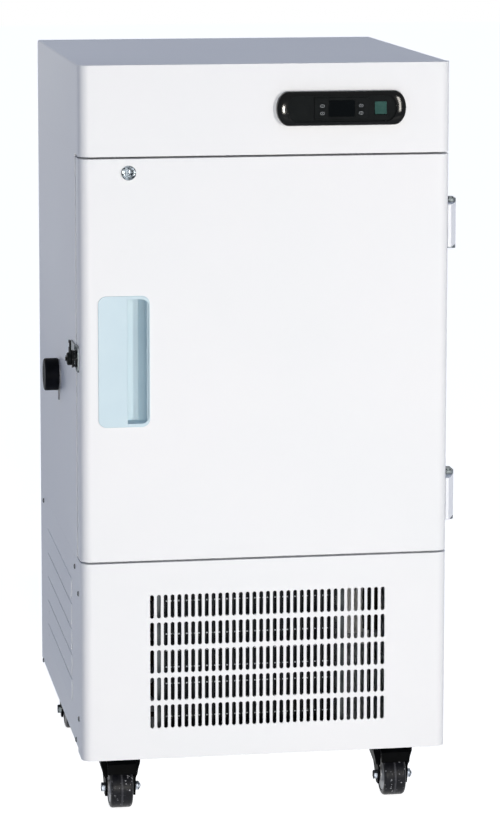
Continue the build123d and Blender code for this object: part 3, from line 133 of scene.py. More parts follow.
finishes = {
    # sprayed as powder and baked: an even satin white with the faintest orange peel
    "powderCoatedSteel": {"colour": "#f2f4f6", "drift": "#f4f5f7", "patch": 300.0,
                          "roughness": 0.42, "grain": 1.6, "depth": 0.03, "edge": 1.0,
                          "shader": {"Specular IOR Level": 0.3}},
    # folded zinc-dipped sheet: dull grey with a cloudy bloom
    "hotDippedSteel": {"colour": "#9da3a8", "drift": "#b4b9bc", "patch": 14.0, "roughness": 0.42,
                       "spread": 0.1, "metallic": 1.0, "grain": 4.0, "depth": 0.02},
    # belt-ground along its length: fine parallel lines that pull the shine sideways
    "brushedStainless": {"colour": "#c3c6c8", "drift": "#cfd1d2", "patch": 80.0,
                         "roughness": 0.3, "metallic": 1.0, "grain": 0.8, "depth": 0.02,
                         "stretch": (0.04, 1.0, 1.0)},
    # urethane poured between the skins: pale yellow, open bubbles, no shine
    "pouredUrethaneFoam": {"colour": "#d8cda2", "drift": "#e3dab4", "patch": 25.0,
                           "roughness": 0.9, "grain": 2.2, "depth": 0.8},
    # polystyrene drawn over a mould: smooth white with soft corners
    "drawnPolystyrene": {"colour": "#e6e8ea", "drift": "#eceeef", "patch": 120.0,
                         "roughness": 0.35, "grain": 6.0, "depth": 0.03, "edge": 1.5},
    # soft vinyl pulled through a die: mid grey, waxy, fine lines along its length
    "extrudedVinylSeal": {"colour": "#80868b", "drift": "#8b9095", "patch": 40.0,
                          "roughness": 0.55, "grain": 1.2, "depth": 0.05, "edge": 1.5},
    # injection-moulded ABS in pale blue: satin, a fine spark-eroded texture
    "mouldedBlueAbs": {"colour": "#c6dce6", "drift": "#cbe0e9", "patch": 60.0,
                       "roughness": 0.38, "grain": 0.9, "depth": 0.02, "edge": 1.6},
    # zinc casting plated bright: a mirror whose dark and light patches are painted reflections in
    # its colour
    "chromeWithPaintedReflections": {"colour": "#30373f", "drift": "#dde4ea", "patch": 7.0, "roughness": 0.1,
                       "metallic": 1.0, "grain": 5.0, "depth": 0.02, "edge": 0.4},
    # the lock's chrome over a rough casting: a dark mirror with a few bright patches painted in as
    # reflections
    "roughChromeWithPaintedReflections": {"colour": "#14191e", "drift": "#a9b3bb", "patch": 4.5,
                            "roughness": 0.16, "spread": 0.05, "metallic": 1.0, "grain": 4.0,
                            "depth": 0.02, "edge": 0.4},
    # blue-passivated zinc on pressed steel: pale, slightly cloudy, with cool highlights painted
    # into its colour as bright patches
    "paleZincWithPaintedHighlights": {"colour": "#727980", "drift": "#dbe2ec", "patch": 5.0, "roughness": 0.3,
                       "spread": 0.08, "metallic": 1.0, "grain": 1.2, "depth": 0.02,
                       "edge": 0.5},
    # the same plating in lead grey, hardly any shine; on the rear castors' nuts this darker copy
    # is painted shade
    "darkZincAndPaintedShade": {"colour": "#51575b", "drift": "#7d8487", "patch": 9.0, "roughness": 0.45,
                   "spread": 0.1, "metallic": 1.0, "grain": 1.6, "depth": 0.03, "edge": 0.6},
    # zinc-dipped sheet painted over with the condenser: slate grey, a little uneven
    "paintedFlangeSteel": {"colour": "#303436", "drift": "#5d6265", "patch": 45.0,
                           "roughness": 0.5, "metallic": 1.0, "grain": 2.0, "depth": 0.03},
    # screws blackened in an oxide bath: dark grey with a faint glint
    "blackenedSteel": {"colour": "#4a4d4f", "drift": "#5d6062", "patch": 2.0,
                       "roughness": 0.35, "metallic": 1.0, "grain": 0.8, "depth": 0.02,
                       "edge": 0.3},
    # black ABS from a polished mould: deep and shiny, with a slight wave in the reflections
    "polishedBlackAbs": {"colour": "#060809", "drift": "#0a0c0d", "patch": 30.0,
                         "roughness": 0.08, "grain": 12.0, "depth": 0.003, "edge": 0.8,
                         "shader": {"Specular IOR Level": 0.12}},
    # the same plastic from an etched mould: charcoal and even
    "etchedBlackAbs": {"colour": "#121516", "drift": "#171a1b", "patch": 20.0,
                       "roughness": 0.4, "grain": 0.7, "depth": 0.03, "edge": 0.6,
                       "shader": {"Specular IOR Level": 0.03}},
    # smoked acrylic sheet, polished: black glass to the eye
    "smokedAcrylic": {"colour": "#05090b", "roughness": 0.06, "spread": 0.01, "grain": 20.0,
                      "depth": 0.005, "edge": 0.4, "shader": {"Specular IOR Level": 0.04}},
    # silicone keys, printed and cured: matt black
    "curedSilicone": {"colour": "#1b1e20", "drift": "#202325", "patch": 8.0, "roughness": 0.6,
                      "grain": 0.5, "depth": 0.02, "edge": 0.6,
                      "shader": {"Specular IOR Level": 0.1}},
    # screened light grey ink on the keys: flat, a little broken at its edge
    "screenedGreyInk": {"colour": "#7b8083", "drift": "#878b8e", "patch": 2.0,
                        "roughness": 0.6, "grain": 0.4, "depth": 0.01, "edge": 0.1},
    # tinted polycarbonate rocker, moulded clear: dark sea green with a wet shine
    "tintedPolycarbonate": {"colour": "#2e514b", "drift": "#365a53", "patch": 9.0,
                            "roughness": 0.16, "grain": 6.0, "depth": 0.02, "edge": 0.8,
                            "shader": {"Specular IOR Level": 0.12}},
    # rubber pressed in a heated mould: near black with a dusty bloom
    "mouldedRubber": {"colour": "#08090d", "drift": "#101117", "patch": 12.0,
                      "roughness": 0.5, "spread": 0.08, "grain": 0.8, "depth": 0.04,
                      "edge": 1.2, "shader": {"Specular IOR Level": 0.03}},
    # grey vinyl sleeve, pressed in a mould: waxy and even
    "mouldedGreyVinyl": {"colour": "#7d8086", "drift": "#868990", "patch": 20.0,
                         "roughness": 0.5, "grain": 1.0, "depth": 0.03, "edge": 1.0},
    # stove-enamelled black on pressed steel: glossy over the press marks
    "stovedBlackSteel": {"colour": "#040506", "drift": "#08090b", "patch": 10.0,
                         "roughness": 0.4, "spread": 0.06, "grain": 2.5, "depth": 0.03,
                         "edge": 1.2, "shader": {"Specular IOR Level": 0.015}},
    # the compressor's own enamel, sprayed thick: dark grey, a soft shine
    "sprayedGreyEnamel": {"colour": "#43464a", "drift": "#4d5054", "patch": 25.0,
                          "roughness": 0.4, "grain": 3.0, "depth": 0.05, "edge": 1.5,
                          "shader": {"Specular IOR Level": 0.2}},
    # rolled aluminium fin stock: dull, dusty, striped by its edges
    "rolledAluminiumFins": {"colour": "#1e2022", "drift": "#2c2e31", "patch": 18.0,
                            "roughness": 0.5, "spread": 0.1, "metallic": 1.0, "grain": 1.5,
                            "depth": 0.05, "stretch": (1.0, 1.0, 0.1)},
    # bright-drawn tube: long thin highlights
    "drawnAluminiumTube": {"colour": "#d0d4d6", "roughness": 0.2, "metallic": 1.0,
                           "grain": 1.5, "depth": 0.01, "stretch": (0.05, 1.0, 1.0)},
    # drawn copper, handled and lightly tarnished: pink brown with dark patches
    "drawnCopper": {"colour": "#b1694a", "drift": "#8b5039", "patch": 16.0, "roughness": 0.3,
                    "spread": 0.1, "metallic": 1.0, "grain": 2.0, "depth": 0.02},
    # copper tube dipped black with its condenser: matt, near black with a brown cast
    "blackedCopper": {"colour": "#15110f", "drift": "#1f1916", "patch": 12.0, "roughness": 0.55,
                      "grain": 2.0, "depth": 0.03, "shader": {"Specular IOR Level": 0.1}},
    # nylon moulded black for the tyre: waxy sheen, with painted glints in small light specks
    "mouldedBlackNylon": {"colour": "#0e0f13", "drift": "#191a1f", "patch": 4.0,
                          "roughness": 0.34, "spread": 0.12, "grain": 2.4, "depth": 0.08,
                          "paintedGlint": "#b4b6bc", "edge": 0.8,
                          "shader": {"Specular IOR Level": 0.16}},
    # the same nylon in a lighter band round the middle of the tread
    "lightBandNylon": {"colour": "#34353a", "drift": "#45464b", "patch": 3.0, "roughness": 0.4,
                  "grain": 1.0, "depth": 0.05, "edge": 0.3,
                  "shader": {"Specular IOR Level": 0.16}},
    # nylon moulded light grey for the wheel's side: smooth satin
    "mouldedGreyNylon": {"colour": "#a2a4aa", "drift": "#abadb2", "patch": 10.0,
                         "roughness": 0.35, "grain": 3.0, "depth": 0.03, "edge": 0.6},
    # baked white enamel on the hinge cover casting: thicker and rounder than the sheet's coat
    "enamelledCasting": {"colour": "#eef1f7", "drift": "#f1f4f9", "patch": 30.0,
                         "roughness": 0.32, "grain": 3.0, "depth": 0.05, "edge": 2.0},
}
materials = {name: makeFinish(name, look) for name, look in finishes.items()}

cadFinish = {
    "powderCoatedSteel": ["top_cover", "header_panel", "side_panel_left", "side_panel_right",
                          "back_panel", "front_frame", "grille_panel", "service_cover_left",
                          "service_cover_right", "door_skin"],
    "hotDippedSteel": ["body_end_sheets", "base_plate"],
    "paintedFlangeSteel": ["fan_shroud", "electrical_box"],
    "brushedStainless": ["inner_liner", "shelves"],
    "pouredUrethaneFoam": ["cabinet_insulation", "door_insulation"],
    "drawnPolystyrene": ["breaker_frame", "door_liner"],
    "extrudedVinylSeal": ["door_gasket"],
    "mouldedBlueAbs": ["handle_insert"],
    "roughChromeWithPaintedReflections": ["lock_housing", "lock_barrel"],
    "darkZincAndPaintedShade": ["hinge_bases", "hinge_pins", "latch_keeper", "latch_base"],
    "enamelledCasting": ["hinge_leaves"],
    "polishedBlackAbs": ["control_bezel"],
    "etchedBlackAbs": ["control_panel", "controller", "fan_blades", "power_inlet",
                       "latch_knob"],
    "curedSilicone": ["key_1", "key_2", "key_3", "key_4"],
    "tintedPolycarbonate": ["power_rocker"],
    "mouldedRubber": ["port_plug", "compressor_feet"],
    "mouldedGreyVinyl": ["port_sleeve"],
    "sprayedGreyEnamel": ["compressor"],
    "stovedBlackSteel": ["fan_motor", "castor_plates", "castor_fork_front_left",
                         "castor_fork_front_right", "castor_fork_rear_left",
                         "castor_fork_rear_right", "brake_pedal_front_left",
                         "brake_pedal_front_right"],
    "rolledAluminiumFins": ["condenser_core"],
    "drawnCopper": ["evaporator_coil"],
    "blackedCopper": ["refrigerant_lines", "condenser_return_bends"],
    "mouldedBlackNylon": ["castor_wheel_front_left", "castor_wheel_front_right",
                          "castor_wheel_rear_left", "castor_wheel_rear_right"],
}
for finish, names in cadFinish.items():
    for name in names:
        for slot in nodes[name].material_slots:
            slot.material = materials[finish]
print("finishes made", len(materials))


def addObject(name, data):
    made = bpy.data.objects.new(name, data)
    bpy.context.scene.collection.objects.link(made)
    return made


def addPiece(name, mesh, finish, body, smoothAngle=35.0):
    mesh.name = name
    mesh.materials.clear()
    mesh.materials.append(materials[finish])
    # a mesh copied from a CAD piece brings its old corner normals, which no longer fit it
    if "custom_normal" in mesh.attributes:
        mesh.attributes.remove(mesh.attributes["custom_normal"])
    mesh.polygons.foreach_set("use_smooth", [True] * len(mesh.polygons))
    mesh.set_sharp_from_angle(angle=math.radians(smoothAngle))
    piece = addObject(name, mesh)
    weighted = piece.modifiers.new("flatFaces", "WEIGHTED_NORMAL")
    weighted.keep_sharp = True
    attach(piece, body)
    return piece


def finishMesh(bm, scale=mm):
    # the scale is 1.0 for a mesh that is in metres already
    bmesh.ops.scale(bm, vec=Vector((scale,) * 3), verts=bm.verts)
    bmesh.ops.recalc_face_normals(bm, faces=bm.faces)
    mesh = bpy.data.meshes.new("made")
    bm.to_mesh(mesh)
    bm.free()
    return mesh


def joined(parts):
    whole = bmesh.new()
    for part in parts:
        mesh = finishMesh(part)
        whole.from_mesh(mesh)
        bpy.data.meshes.remove(mesh)
    return finishMesh(whole, 1.0)


def placement(centre, axis):
    turn = Vector((0, 0, 1)).rotation_difference(Vector(axis)).to_matrix().to_4x4()
    return Matrix.Translation(Vector(centre)) @ turn


def circle(radius, steps):
    angles = [2 * math.pi * i / steps for i in range(steps)]
    return [(radius * math.cos(a), radius * math.sin(a)) for a in angles]


def skin(bm, rings, closed=False):
    # faces between neighbouring rings of points, where a ring may be a single point
    pairs = list(zip(rings, rings[1:])) + ([(rings[-1], rings[0])] if closed else [])
    for low, high in pairs:
        for i in range(max(len(low), len(high))):
            corners = [low[i % len(low)], low[(i + 1) % len(low)],
                       high[(i + 1) % len(high)], high[i % len(high)]]
            corners = list(dict.fromkeys(corners))
            if len(corners) > 2:
                bm.faces.new(corners)
    return bm


def turned(profile, centre, axis, steps=64, closed=False):
    # a turned shape: (radius, along) points carried round an axis, as a bmesh in mm
    bm = bmesh.new()
    place = placement(centre, axis)
    rings = []
    for radius, along in profile:
        points = circle(radius, steps if radius > 0 else 1)
        rings.append([bm.verts.new(place @ Vector((x, y, along))) for x, y in points])
    return skin(bm, rings, closed)


def arcPoints(centreRadius, centreAlong, radius, startAngle, endAngle, count):
    # rounded corner of a turned profile, angles in degrees from the radial direction
    points = []
    for i in range(count + 1):
        a = math.radians(startAngle + (endAngle - startAngle) * i / count)
        points.append((centreRadius + radius * math.cos(a), centreAlong + radius * math.sin(a)))
    return points


def bridged(loops, closed=False):
    # skin through loops of the same number of points, as a bmesh in mm
    bm = bmesh.new()
    return skin(bm, [[bm.verts.new(p) for p in loop] for loop in loops], closed)


def plate(loops):
    # closed plate: loops from its back to its front, both ends filled
    bm = bridged(loops)
    bm.verts.ensure_lookup_table()
    count = len(loops[0])
    bm.faces.new([bm.verts[i] for i in range(count)])
    bm.faces.new([bm.verts[len(bm.verts) - count + i] for i in range(count)])
    return bm


# Grille: the lower front panel again, its slots with round ends as the punch leaves them
grille = {
    "columns": 35, "rows": 5, "width": 5.8, "height": 35.6, "pitchX": 10.225,
    "pitchZ": 41.7, "offset": 3.5, "drop": 1.4, "endSteps": 8,
}


def stadiumPoints(x, z):
    r = grille["width"] / 2
    half = grille["height"] / 2 - r
    points = []
    for end, start in ((1, 0), (-1, math.pi)):
        for i in range(grille["endSteps"] + 1):
            a = start + math.pi * i / grille["endSteps"]
            points.append((x + r * math.cos(a), z + end * half + r * math.sin(a)))
    return points


def slottedSheet(x0, x1, z0, z1):
    curve = bpy.data.curves.new("slottedSheet", "CURVE")
    curve.dimensions = "2D"
    curve.fill_mode = "BOTH"
    curve.extrude = cabinet["sheet"] / 2 * mm
    outlines = [[(x0, z0), (x1, z0), (x1, z1), (x0, z1)]]
    centreX = cabinet["middle"] + grille["offset"]
    centreZ = (cabinet["panelLow"] + cabinet["panelHigh"]) / 2 - grille["drop"]
    for column in range(grille["columns"]):
        for row in range(grille["rows"]):
            outlines.append(stadiumPoints(
                centreX + (column - (grille["columns"] - 1) / 2) * grille["pitchX"],
                centreZ + (row - (grille["rows"] - 1) / 2) * grille["pitchZ"]))
    for outline in outlines:
        spline = curve.splines.new("POLY")
        spline.points.add(len(outline) - 1)
        for point, (x, z) in zip(spline.points, outline):
            point.co = (x * mm, z * mm, 0, 1)
        spline.use_cyclic_u = True
    holder = addObject("slottedSheet", curve)
    bpy.context.view_layer.update()
    depsgraph = bpy.context.evaluated_depsgraph_get()
    mesh = bpy.data.meshes.new_from_object(holder.evaluated_get(depsgraph))
    bpy.data.objects.remove(holder)
    middleY = (cabinet["front"] + cabinet["sheet"] / 2) * mm
    mesh.transform(Matrix.Translation((0, middleY, 0)) @ Matrix.Rotation(math.pi / 2, 4, "X"))
    return mesh


def makeGrille():
    tiny = 0.01 * mm
    flatHalf = (cabinet["right"] - cabinet["left"]) / 2 - cabinet["corner"]
    sheetBack = (cabinet["front"] + cabinet["sheet"]) * mm + tiny
    bm = bmesh.new()
    bm.from_mesh(nodes["grille_panel"].data)
    flat = [f for f in bm.faces if all(
        v.co.y < sheetBack and abs(v.co.x - cabinet["middle"] * mm) < flatHalf * mm + tiny
        for v in f.verts)]
    bmesh.ops.delete(bm, geom=flat, context="FACES")
    bmesh.ops.remove_doubles(bm, verts=bm.verts, dist=tiny)
    x0 = cabinet["middle"] - flatHalf
    x1 = cabinet["middle"] + flatHalf
    z0, z1 = cabinet["panelLow"], cabinet["panelHigh"]
    # the sheet runs on into the CAD panel's bent edges, so its own rims go
    sheet = bmesh.new()
    sheet.from_mesh(slottedSheet(x0, x1, z0, z1))
    rims = [f for f in sheet.faces if any(
        all(abs(v.co[axis] - place * mm) < tiny for v in f.verts)
        for axis, place in ((0, x0), (0, x1), (2, z0), (2, z1)))]
    bmesh.ops.delete(sheet, geom=rims, context="FACES")
    bmesh.ops.remove_doubles(sheet, verts=sheet.verts, dist=tiny)
    bm.from_mesh(finishMesh(sheet, 1.0))
    return finishMesh(bm, 1.0)


grillePiece = addPiece("slottedGrille", makeGrille(), "powderCoatedSteel", "cabinet")
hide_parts("grille_panel")
print("grille made")

# Pan-head screws, polar mesh with a cross recess pressed into the dome
screws = {
    "head": 8.0, "rise": 2.2, "recess": 1.1, "recessArm": 2.4, "recessWidth": 0.7,
    "rings": 12, "steps": 48, "skirt": 0.1, "sideGap": 0.05,
    "sidePlaces": [(553, 376), (86, 372), (80, 107), (574, 102), (40, 341), (40, 150)],
    "podPlaces": [(308.0, 1079.0), (308.0, 1043.5), (462.8, 1079.0), (462.8, 1043.5)],
    "podHead": 3.6, "podRise": 0.7,
}


def screwHead(centre, axis, head, rise):
    bm = bmesh.new()
    place = placement(centre, axis)
    scale = head / screws["head"]
    radius = head / 2
    rings, steps = screws["rings"], screws["steps"]
    rows = []
    for i in range(rings + 1):
        r = radius * i / rings
        row = []
        for x, y in circle(r, steps if i else 1):
            dome = rise * math.sqrt(max(1 - (r / radius) ** 2 * 0.9, 0))
            arm = min(abs(x), abs(y)) < screws["recessWidth"] * scale
            inside = max(abs(x), abs(y)) < screws["recessArm"] * scale
            if arm and inside:
                dome -= screws["recess"] * scale * (1 - 0.4 * r / radius)
            row.append(bm.verts.new(place @ Vector((x, y, dome))))
        rows.append(row)
    rows.append([bm.verts.new(place @ Vector((x, y, -screws["skirt"])))
                 for x, y in circle(radius, steps)])
    return skin(bm, rows)


for sideName, faceX, outward in sides:
    heads = [screwHead((faceX + outward * screws["sideGap"], cabinet["front"] + y, z),
                       (outward, 0, 0), screws["head"], screws["rise"])
             for y, z in screws["sidePlaces"]]
    piece = addPiece("coverScrews" + sideName, joined(heads), "blackenedSteel", "cabinet")
print("screws made")

# Louvre hoods: pressed bands that lean out towards their lower edge and die away at both ends,
# each with an open slit under it
louvres = {"count": 5, "first": 147.0, "pitch": 39.4, "height": 37.0, "front": -159.5,
           "length": 354.0, "reach": 3.2, "endReach": 1.1, "taper": 50.0, "slit": 7.2,
           "sheet": 1.0, "overlap": 1.2}


def makeHood(faceX, outward, low):
    high, sheet, over = low + louvres["height"], louvres["sheet"], louvres["overlap"]
    lip = low + louvres["slit"]
    y0, y1 = louvres["front"] - over, louvres["front"] + louvres["length"] + over
    loops = []
    for y, reach in ((y0, louvres["endReach"]), (y0 + louvres["taper"], louvres["reach"]),
                     (y1 - louvres["taper"], louvres["reach"]), (y1, louvres["endReach"])):
        band = [(hair, high + over), (0.8, high + over - 0.5), (reach, lip + 1.2), (reach, lip),
                (reach - sheet, lip), (reach - sheet, lip + 1.4), (hair, high - over)]
        loops.append([(faceX + outward * out, y, z) for out, z in band])
    return plate(loops)


for sideName, faceX, outward in sides:
    hoods = [makeHood(faceX, outward, louvres["first"] + number * louvres["pitch"])
             for number in range(louvres["count"])]
    addPiece("louvreHoods" + sideName, joined(hoods), "powderCoatedSteel", "cabinet")
print("louvres made")

# Control pod
pod = {
    "x": 112.3, "z": 1062.2, "halfWidth": 96.0, "halfHeight": 25.25, "endDepth": 18.0,
    "arcSteps": 28,
    # (inset at top and bottom, inset at the ends, distance in front of the header's face):
    # the ends are crowned, so that they catch the two lamps
    "lip": [(6.0, 15.0, 7.0), (6.0, 15.0, 12.98), (5.2, 12.2, 12.7), (4.4, 9.4, 12.32),
            (3.6, 6.6, 11.87), (2.8, 4.2, 11.4), (2.0, 2.4, 10.8), (1.1, 1.1, 9.9),
            (0.3, 0.3, 8.6), (0.0, 0.0, 7.0), (0.0, 0.0, 0.0), (6.0, 15.0, 0.0)],
    "panelFace": -303.5,
}


def podLoop(inset, endInset, reach):
    halfW = pod["halfWidth"] - endInset
    halfH = pod["halfHeight"] - inset
    depth = pod["endDepth"] - inset / 2
    points = []
    for side in (1, -1):
        for i in range(pod["arcSteps"] + 1):
            a = math.pi * (i / pod["arcSteps"] - 0.5)
            x = side * (halfW - depth + depth * math.cos(a))
            z = side * halfH * math.sin(a)
            points.append((pod["x"] + x, cabinet["front"] - reach, pod["z"] + z))
    return points


bezel = addPiece("podBezel", finishMesh(bridged([podLoop(*step) for step in pod["lip"]], True)),
                 "polishedBlackAbs", "cabinet", 50.0)
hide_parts("control_bezel")

podScrews = [screwHead((cabinet["left"] + x, pod["panelFace"] - hair, z), (0, -1, 0),
                       screws["podHead"], screws["podRise"]) for x, z in screws["podPlaces"]]
addPiece("podScrews", joined(podScrews), "blackenedSteel", "cabinet")

# Display lens: a smoked sheet over the controller's window, its corners eased
windowLow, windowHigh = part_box("controller")
lens = {"width": 38.6, "height": 23.4, "corner": 1.5, "frontReach": 0.85, "depth": 0.6,
        "edge": 0.15}


def roundedLoop(x, z, halfW, halfH, corner, y, steps=6):
    points = []
    for cx, cz, start in ((1, 1, 0), (-1, 1, 90), (-1, -1, 180), (1, -1, 270)):
        for i in range(steps + 1):
            a = math.radians(start + 90 * i / steps)
            points.append((x + cx * (halfW - corner) + corner * math.cos(a), y,
                           z + cz * (halfH - corner) + corner * math.sin(a)))
    return points


controllerX = (windowLow.x + windowHigh.x) / 2 / mm
lensFront = pod["panelFace"] - lens["frontReach"]
lensLoops = [roundedLoop(controllerX, pod["z"], lens["width"] / 2 - cut,
                         lens["height"] / 2 - cut, lens["corner"], lensFront + back)
             for cut, back in ((0, lens["depth"]), (0, lens["edge"]), (lens["edge"], 0))]
addPiece("displayLens", finishMesh(plate(lensLoops)), "smokedAcrylic", "cabinet")

# Key marks: an oval outline and a plain sign on each key
keyMarks = {
    "keys": {"key_1": ("key_one", "ring"), "key_2": ("key_two", "down"),
             "key_3": ("key_three", "bar"), "key_4": ("key_four", "up")},
    "oval": (6.6, 4.7), "ovalSteps": 40, "line": 0.65, "rise": 0.12, "ringRadius": 0.5,
    "ringSteps": 12, "halfWidth": 0.9, "halfBar": 0.3, "arrowFoot": 0.6, "arrowTip": 0.8,
}


def prism(points, y0, y1):
    return plate([[(x, y, z) for x, z in points] for y in (y0, y1)])


def signPoints(sign):
    # outline of a sign, measured from the middle of its key
    wide, thick = keyMarks["halfWidth"], keyMarks["halfBar"]
    if sign == "ring":
        return circle(keyMarks["ringRadius"], keyMarks["ringSteps"])
    if sign == "bar":
        return [(-wide, -thick), (wide, -thick), (wide, thick), (-wide, thick)]
    up = 1 if sign == "up" else -1
    foot, tip = keyMarks["arrowFoot"] * up, keyMarks["arrowTip"] * up
    return [(-wide, -foot), (wide, -foot), (0, tip)]


def makeKeyMark(key, sign):
    low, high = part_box(key)
    x, z, y = (low.x + high.x) / 2 / mm, (low.z + high.z) / 2 / mm, low.y / mm
    halfW, halfH = keyMarks["oval"][0] / 2, keyMarks["oval"][1] / 2
    back, front = y + hair, y - keyMarks["rise"]
    line = keyMarks["line"]
    oval = [[(x + (halfW - inset) * c, level, z + (halfH - inset) * s)
             for c, s in circle(1, keyMarks["ovalSteps"])]
            for inset, level in ((0, back), (0, front), (line, front), (line, back))]
    points = [(x + dx, z + dz) for dx, dz in signPoints(sign)]
    return joined([bridged(oval), prism(points, back, front)])


for key, (body, sign) in keyMarks["keys"].items():
    piece = addPiece("keyMark_" + key[-1], makeKeyMark(key, sign), "screenedGreyInk", body)
print("control pod made")

# Door lock: turned ring with a rolled edge and a step down to the barrel
lock = {"centre": (-200.5, -293.5, 971.5), "ring": 10.85, "bore": 6.0, "body": 8.95,
        "bodyLength": 20.0}
lockProfile = [(lock["bore"], -lock["bodyLength"]), (lock["body"], -lock["bodyLength"]),
               (lock["body"], -0.05), (lock["ring"], -0.05), (lock["ring"], 1.4),
               (lock["ring"] - 0.25, 2.1), (lock["ring"] - 0.8, 2.7), (lock["ring"] - 1.6, 3.0),
               (lock["ring"] - 2.6, 3.0), (lock["ring"] - 3.2, 2.6), (lock["bore"] + 1.0, 2.45),
               (lock["bore"] + 0.4, 2.7), (lock["bore"], 2.3)]
# the ring's bright and dark patches are painted reflections
lockPiece = addPiece("lockRing", finishMesh(turned(lockProfile, lock["centre"], (0, -1, 0), 72,
                                                   True)), "roughChromeWithPaintedReflections", "door", 40.0)
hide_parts("lock_housing")
print("lock made")

# Access port plug: rounded head with a shallow dished face, straight stem
plugSet = {"headRadius": 25.0, "headLength": 22.0, "edge": 2.6, "stemRadius": 13.9,
           "stemLength": 70.0, "dish": 0.8, "standOff": 2.0, "y": -0.5, "z": 629.5}


def makePlug():
    face = plugSet["headLength"]
    edge = plugSet["edge"]
    r = plugSet["headRadius"]
    profile = [(0, face - plugSet["dish"]), (r * 0.45, face - plugSet["dish"]),
               (r * 0.62, face - plugSet["dish"] * 0.2), (r * 0.7, face)]
    profile += arcPoints(r - edge, face - edge, edge, 90, 0, 8)
    profile += [(r, 1.2), (r - 0.8, 0.0), (plugSet["stemRadius"] + 1.0, 0.0),
                (plugSet["stemRadius"], -1.0), (plugSet["stemRadius"], -plugSet["stemLength"] + 2),
                (plugSet["stemRadius"] - 2, -plugSet["stemLength"]), (0, -plugSet["stemLength"])]
    centre = (cabinet["left"] - plugSet["standOff"], plugSet["y"], plugSet["z"])
    return turned(profile, centre, (-1, 0, 0), 96)


plugPiece = addPiece("portPlug", finishMesh(makePlug()), "mouldedRubber", "plug", 40.0)
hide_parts("port_plug")
print("plug made")

# Side latch: a mounting plate with two screws, two black discs with a bright washer between.
# The plate is given as half width, half height, corner radius and thickness.
latch = {"y": -265.5, "z": 696.5, "plate": (13.0, 19.5, 4.0, 2.0), "plateEdge": 0.4,
         "disc": 13.2, "washer": 12.4, "post": 3.0, "screwPlace": 16.0, "screwHead": 5.5,
         "screwRise": 1.4}


def alongLeft(profile, steps=72):
    return turned(profile, (cabinet["left"], latch["y"], latch["z"]), (-1, 0, 0), steps)


def sideLoop(halfY, halfZ, corner, x, steps=6):
    points = roundedLoop(latch["y"], latch["z"], halfY, halfZ, corner, x, steps)
    return [(px, py, pz) for py, px, pz in points]


halfY, halfZ, cornerR, thick = latch["plate"]
latchPlate = plate([sideLoop(halfY - cut, halfZ - cut, cornerR, cabinet["left"] - out)
                    for cut, out in ((0, 0.0), (0, thick - latch["plateEdge"]),
                                     (latch["plateEdge"], thick))])
r = latch["disc"]
discs = [(0, 2.0), (r - 1.2, 2.0), (r - 0.3, 2.4), (r, 3.2), (r, 4.6), (r - 0.4, 5.2),
         (latch["washer"] - 0.6, 5.3), (latch["washer"] - 0.6, 6.5), (r - 0.4, 6.6), (r, 7.2),
         (r, 9.0), (r - 0.4, 9.7), (r - 1.4, 10.0), (latch["post"], 10.0), (latch["post"], 19.0),
         (0, 19.0)]
washer = [(latch["washer"] - 2, 5.35), (latch["washer"], 5.45), (latch["washer"] + 0.5, 5.9),
          (latch["washer"], 6.35), (latch["washer"] - 2, 6.45)]
latchScrews = [screwHead((cabinet["left"] - thick, latch["y"],
                          latch["z"] + up * latch["screwPlace"]),
                         (-1, 0, 0), latch["screwHead"], latch["screwRise"]) for up in (1, -1)]
platePiece = addPiece("latchPlate", joined([latchPlate] + latchScrews), "darkZincAndPaintedShade", "door")
discPiece = addPiece("latchDiscs", finishMesh(alongLeft(discs)), "polishedBlackAbs", "door", 40.0)
# the washer's dark and light patches are painted reflections
washerPiece = addPiece("latchWasher", finishMesh(alongLeft(washer)), "chromeWithPaintedReflections", "door",
                       60.0)
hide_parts("latch_base")

# Latch handle: the knob's own solid with its outer face moved in and its rim rounded
handle = {"thin": 2.6, "rim": 1.2, "screwDrop": 6.4, "screwHead": 3.4, "screwRise": 0.9}


def makeHandle():
    middle = Vector((latch["y"], latch["z"])) * mm
    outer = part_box("latch_knob")[0].x
    tiny = 0.05 * mm
    bm = bmesh.new()
    bm.from_mesh(nodes["latch_knob"].data)
    bmesh.ops.remove_doubles(bm, verts=bm.verts, dist=tiny)
    for vert in bm.verts:
        if vert.co.x < outer + tiny:
            vert.co.x = outer + handle["thin"] * mm
    rim = [e for e in bm.edges if all(v.co.x < outer + handle["thin"] * mm + tiny
                                      and (v.co.yz - middle).length > latch["post"] * 1.5 * mm
                                      for v in e.verts) and e.calc_face_angle(0) > 0.8]
    bmesh.ops.bevel(bm, geom=rim, offset=handle["rim"] * mm, segments=4, affect="EDGES")
    return finishMesh(bm, 1.0), outer / mm + handle["thin"]


handleMesh, faceX = makeHandle()
handlePiece = addPiece("latchHandle", handleMesh, "etchedBlackAbs", "latch_handle")
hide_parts("latch_knob")
handleScrew = screwHead((faceX - hair, latch["y"], latch["z"] - handle["screwDrop"]),
                        (-1, 0, 0), handle["screwHead"], handle["screwRise"])
addPiece("latchHandleScrew", finishMesh(handleScrew), "paleZincWithPaintedHighlights", "latch_handle")
print("latch made")

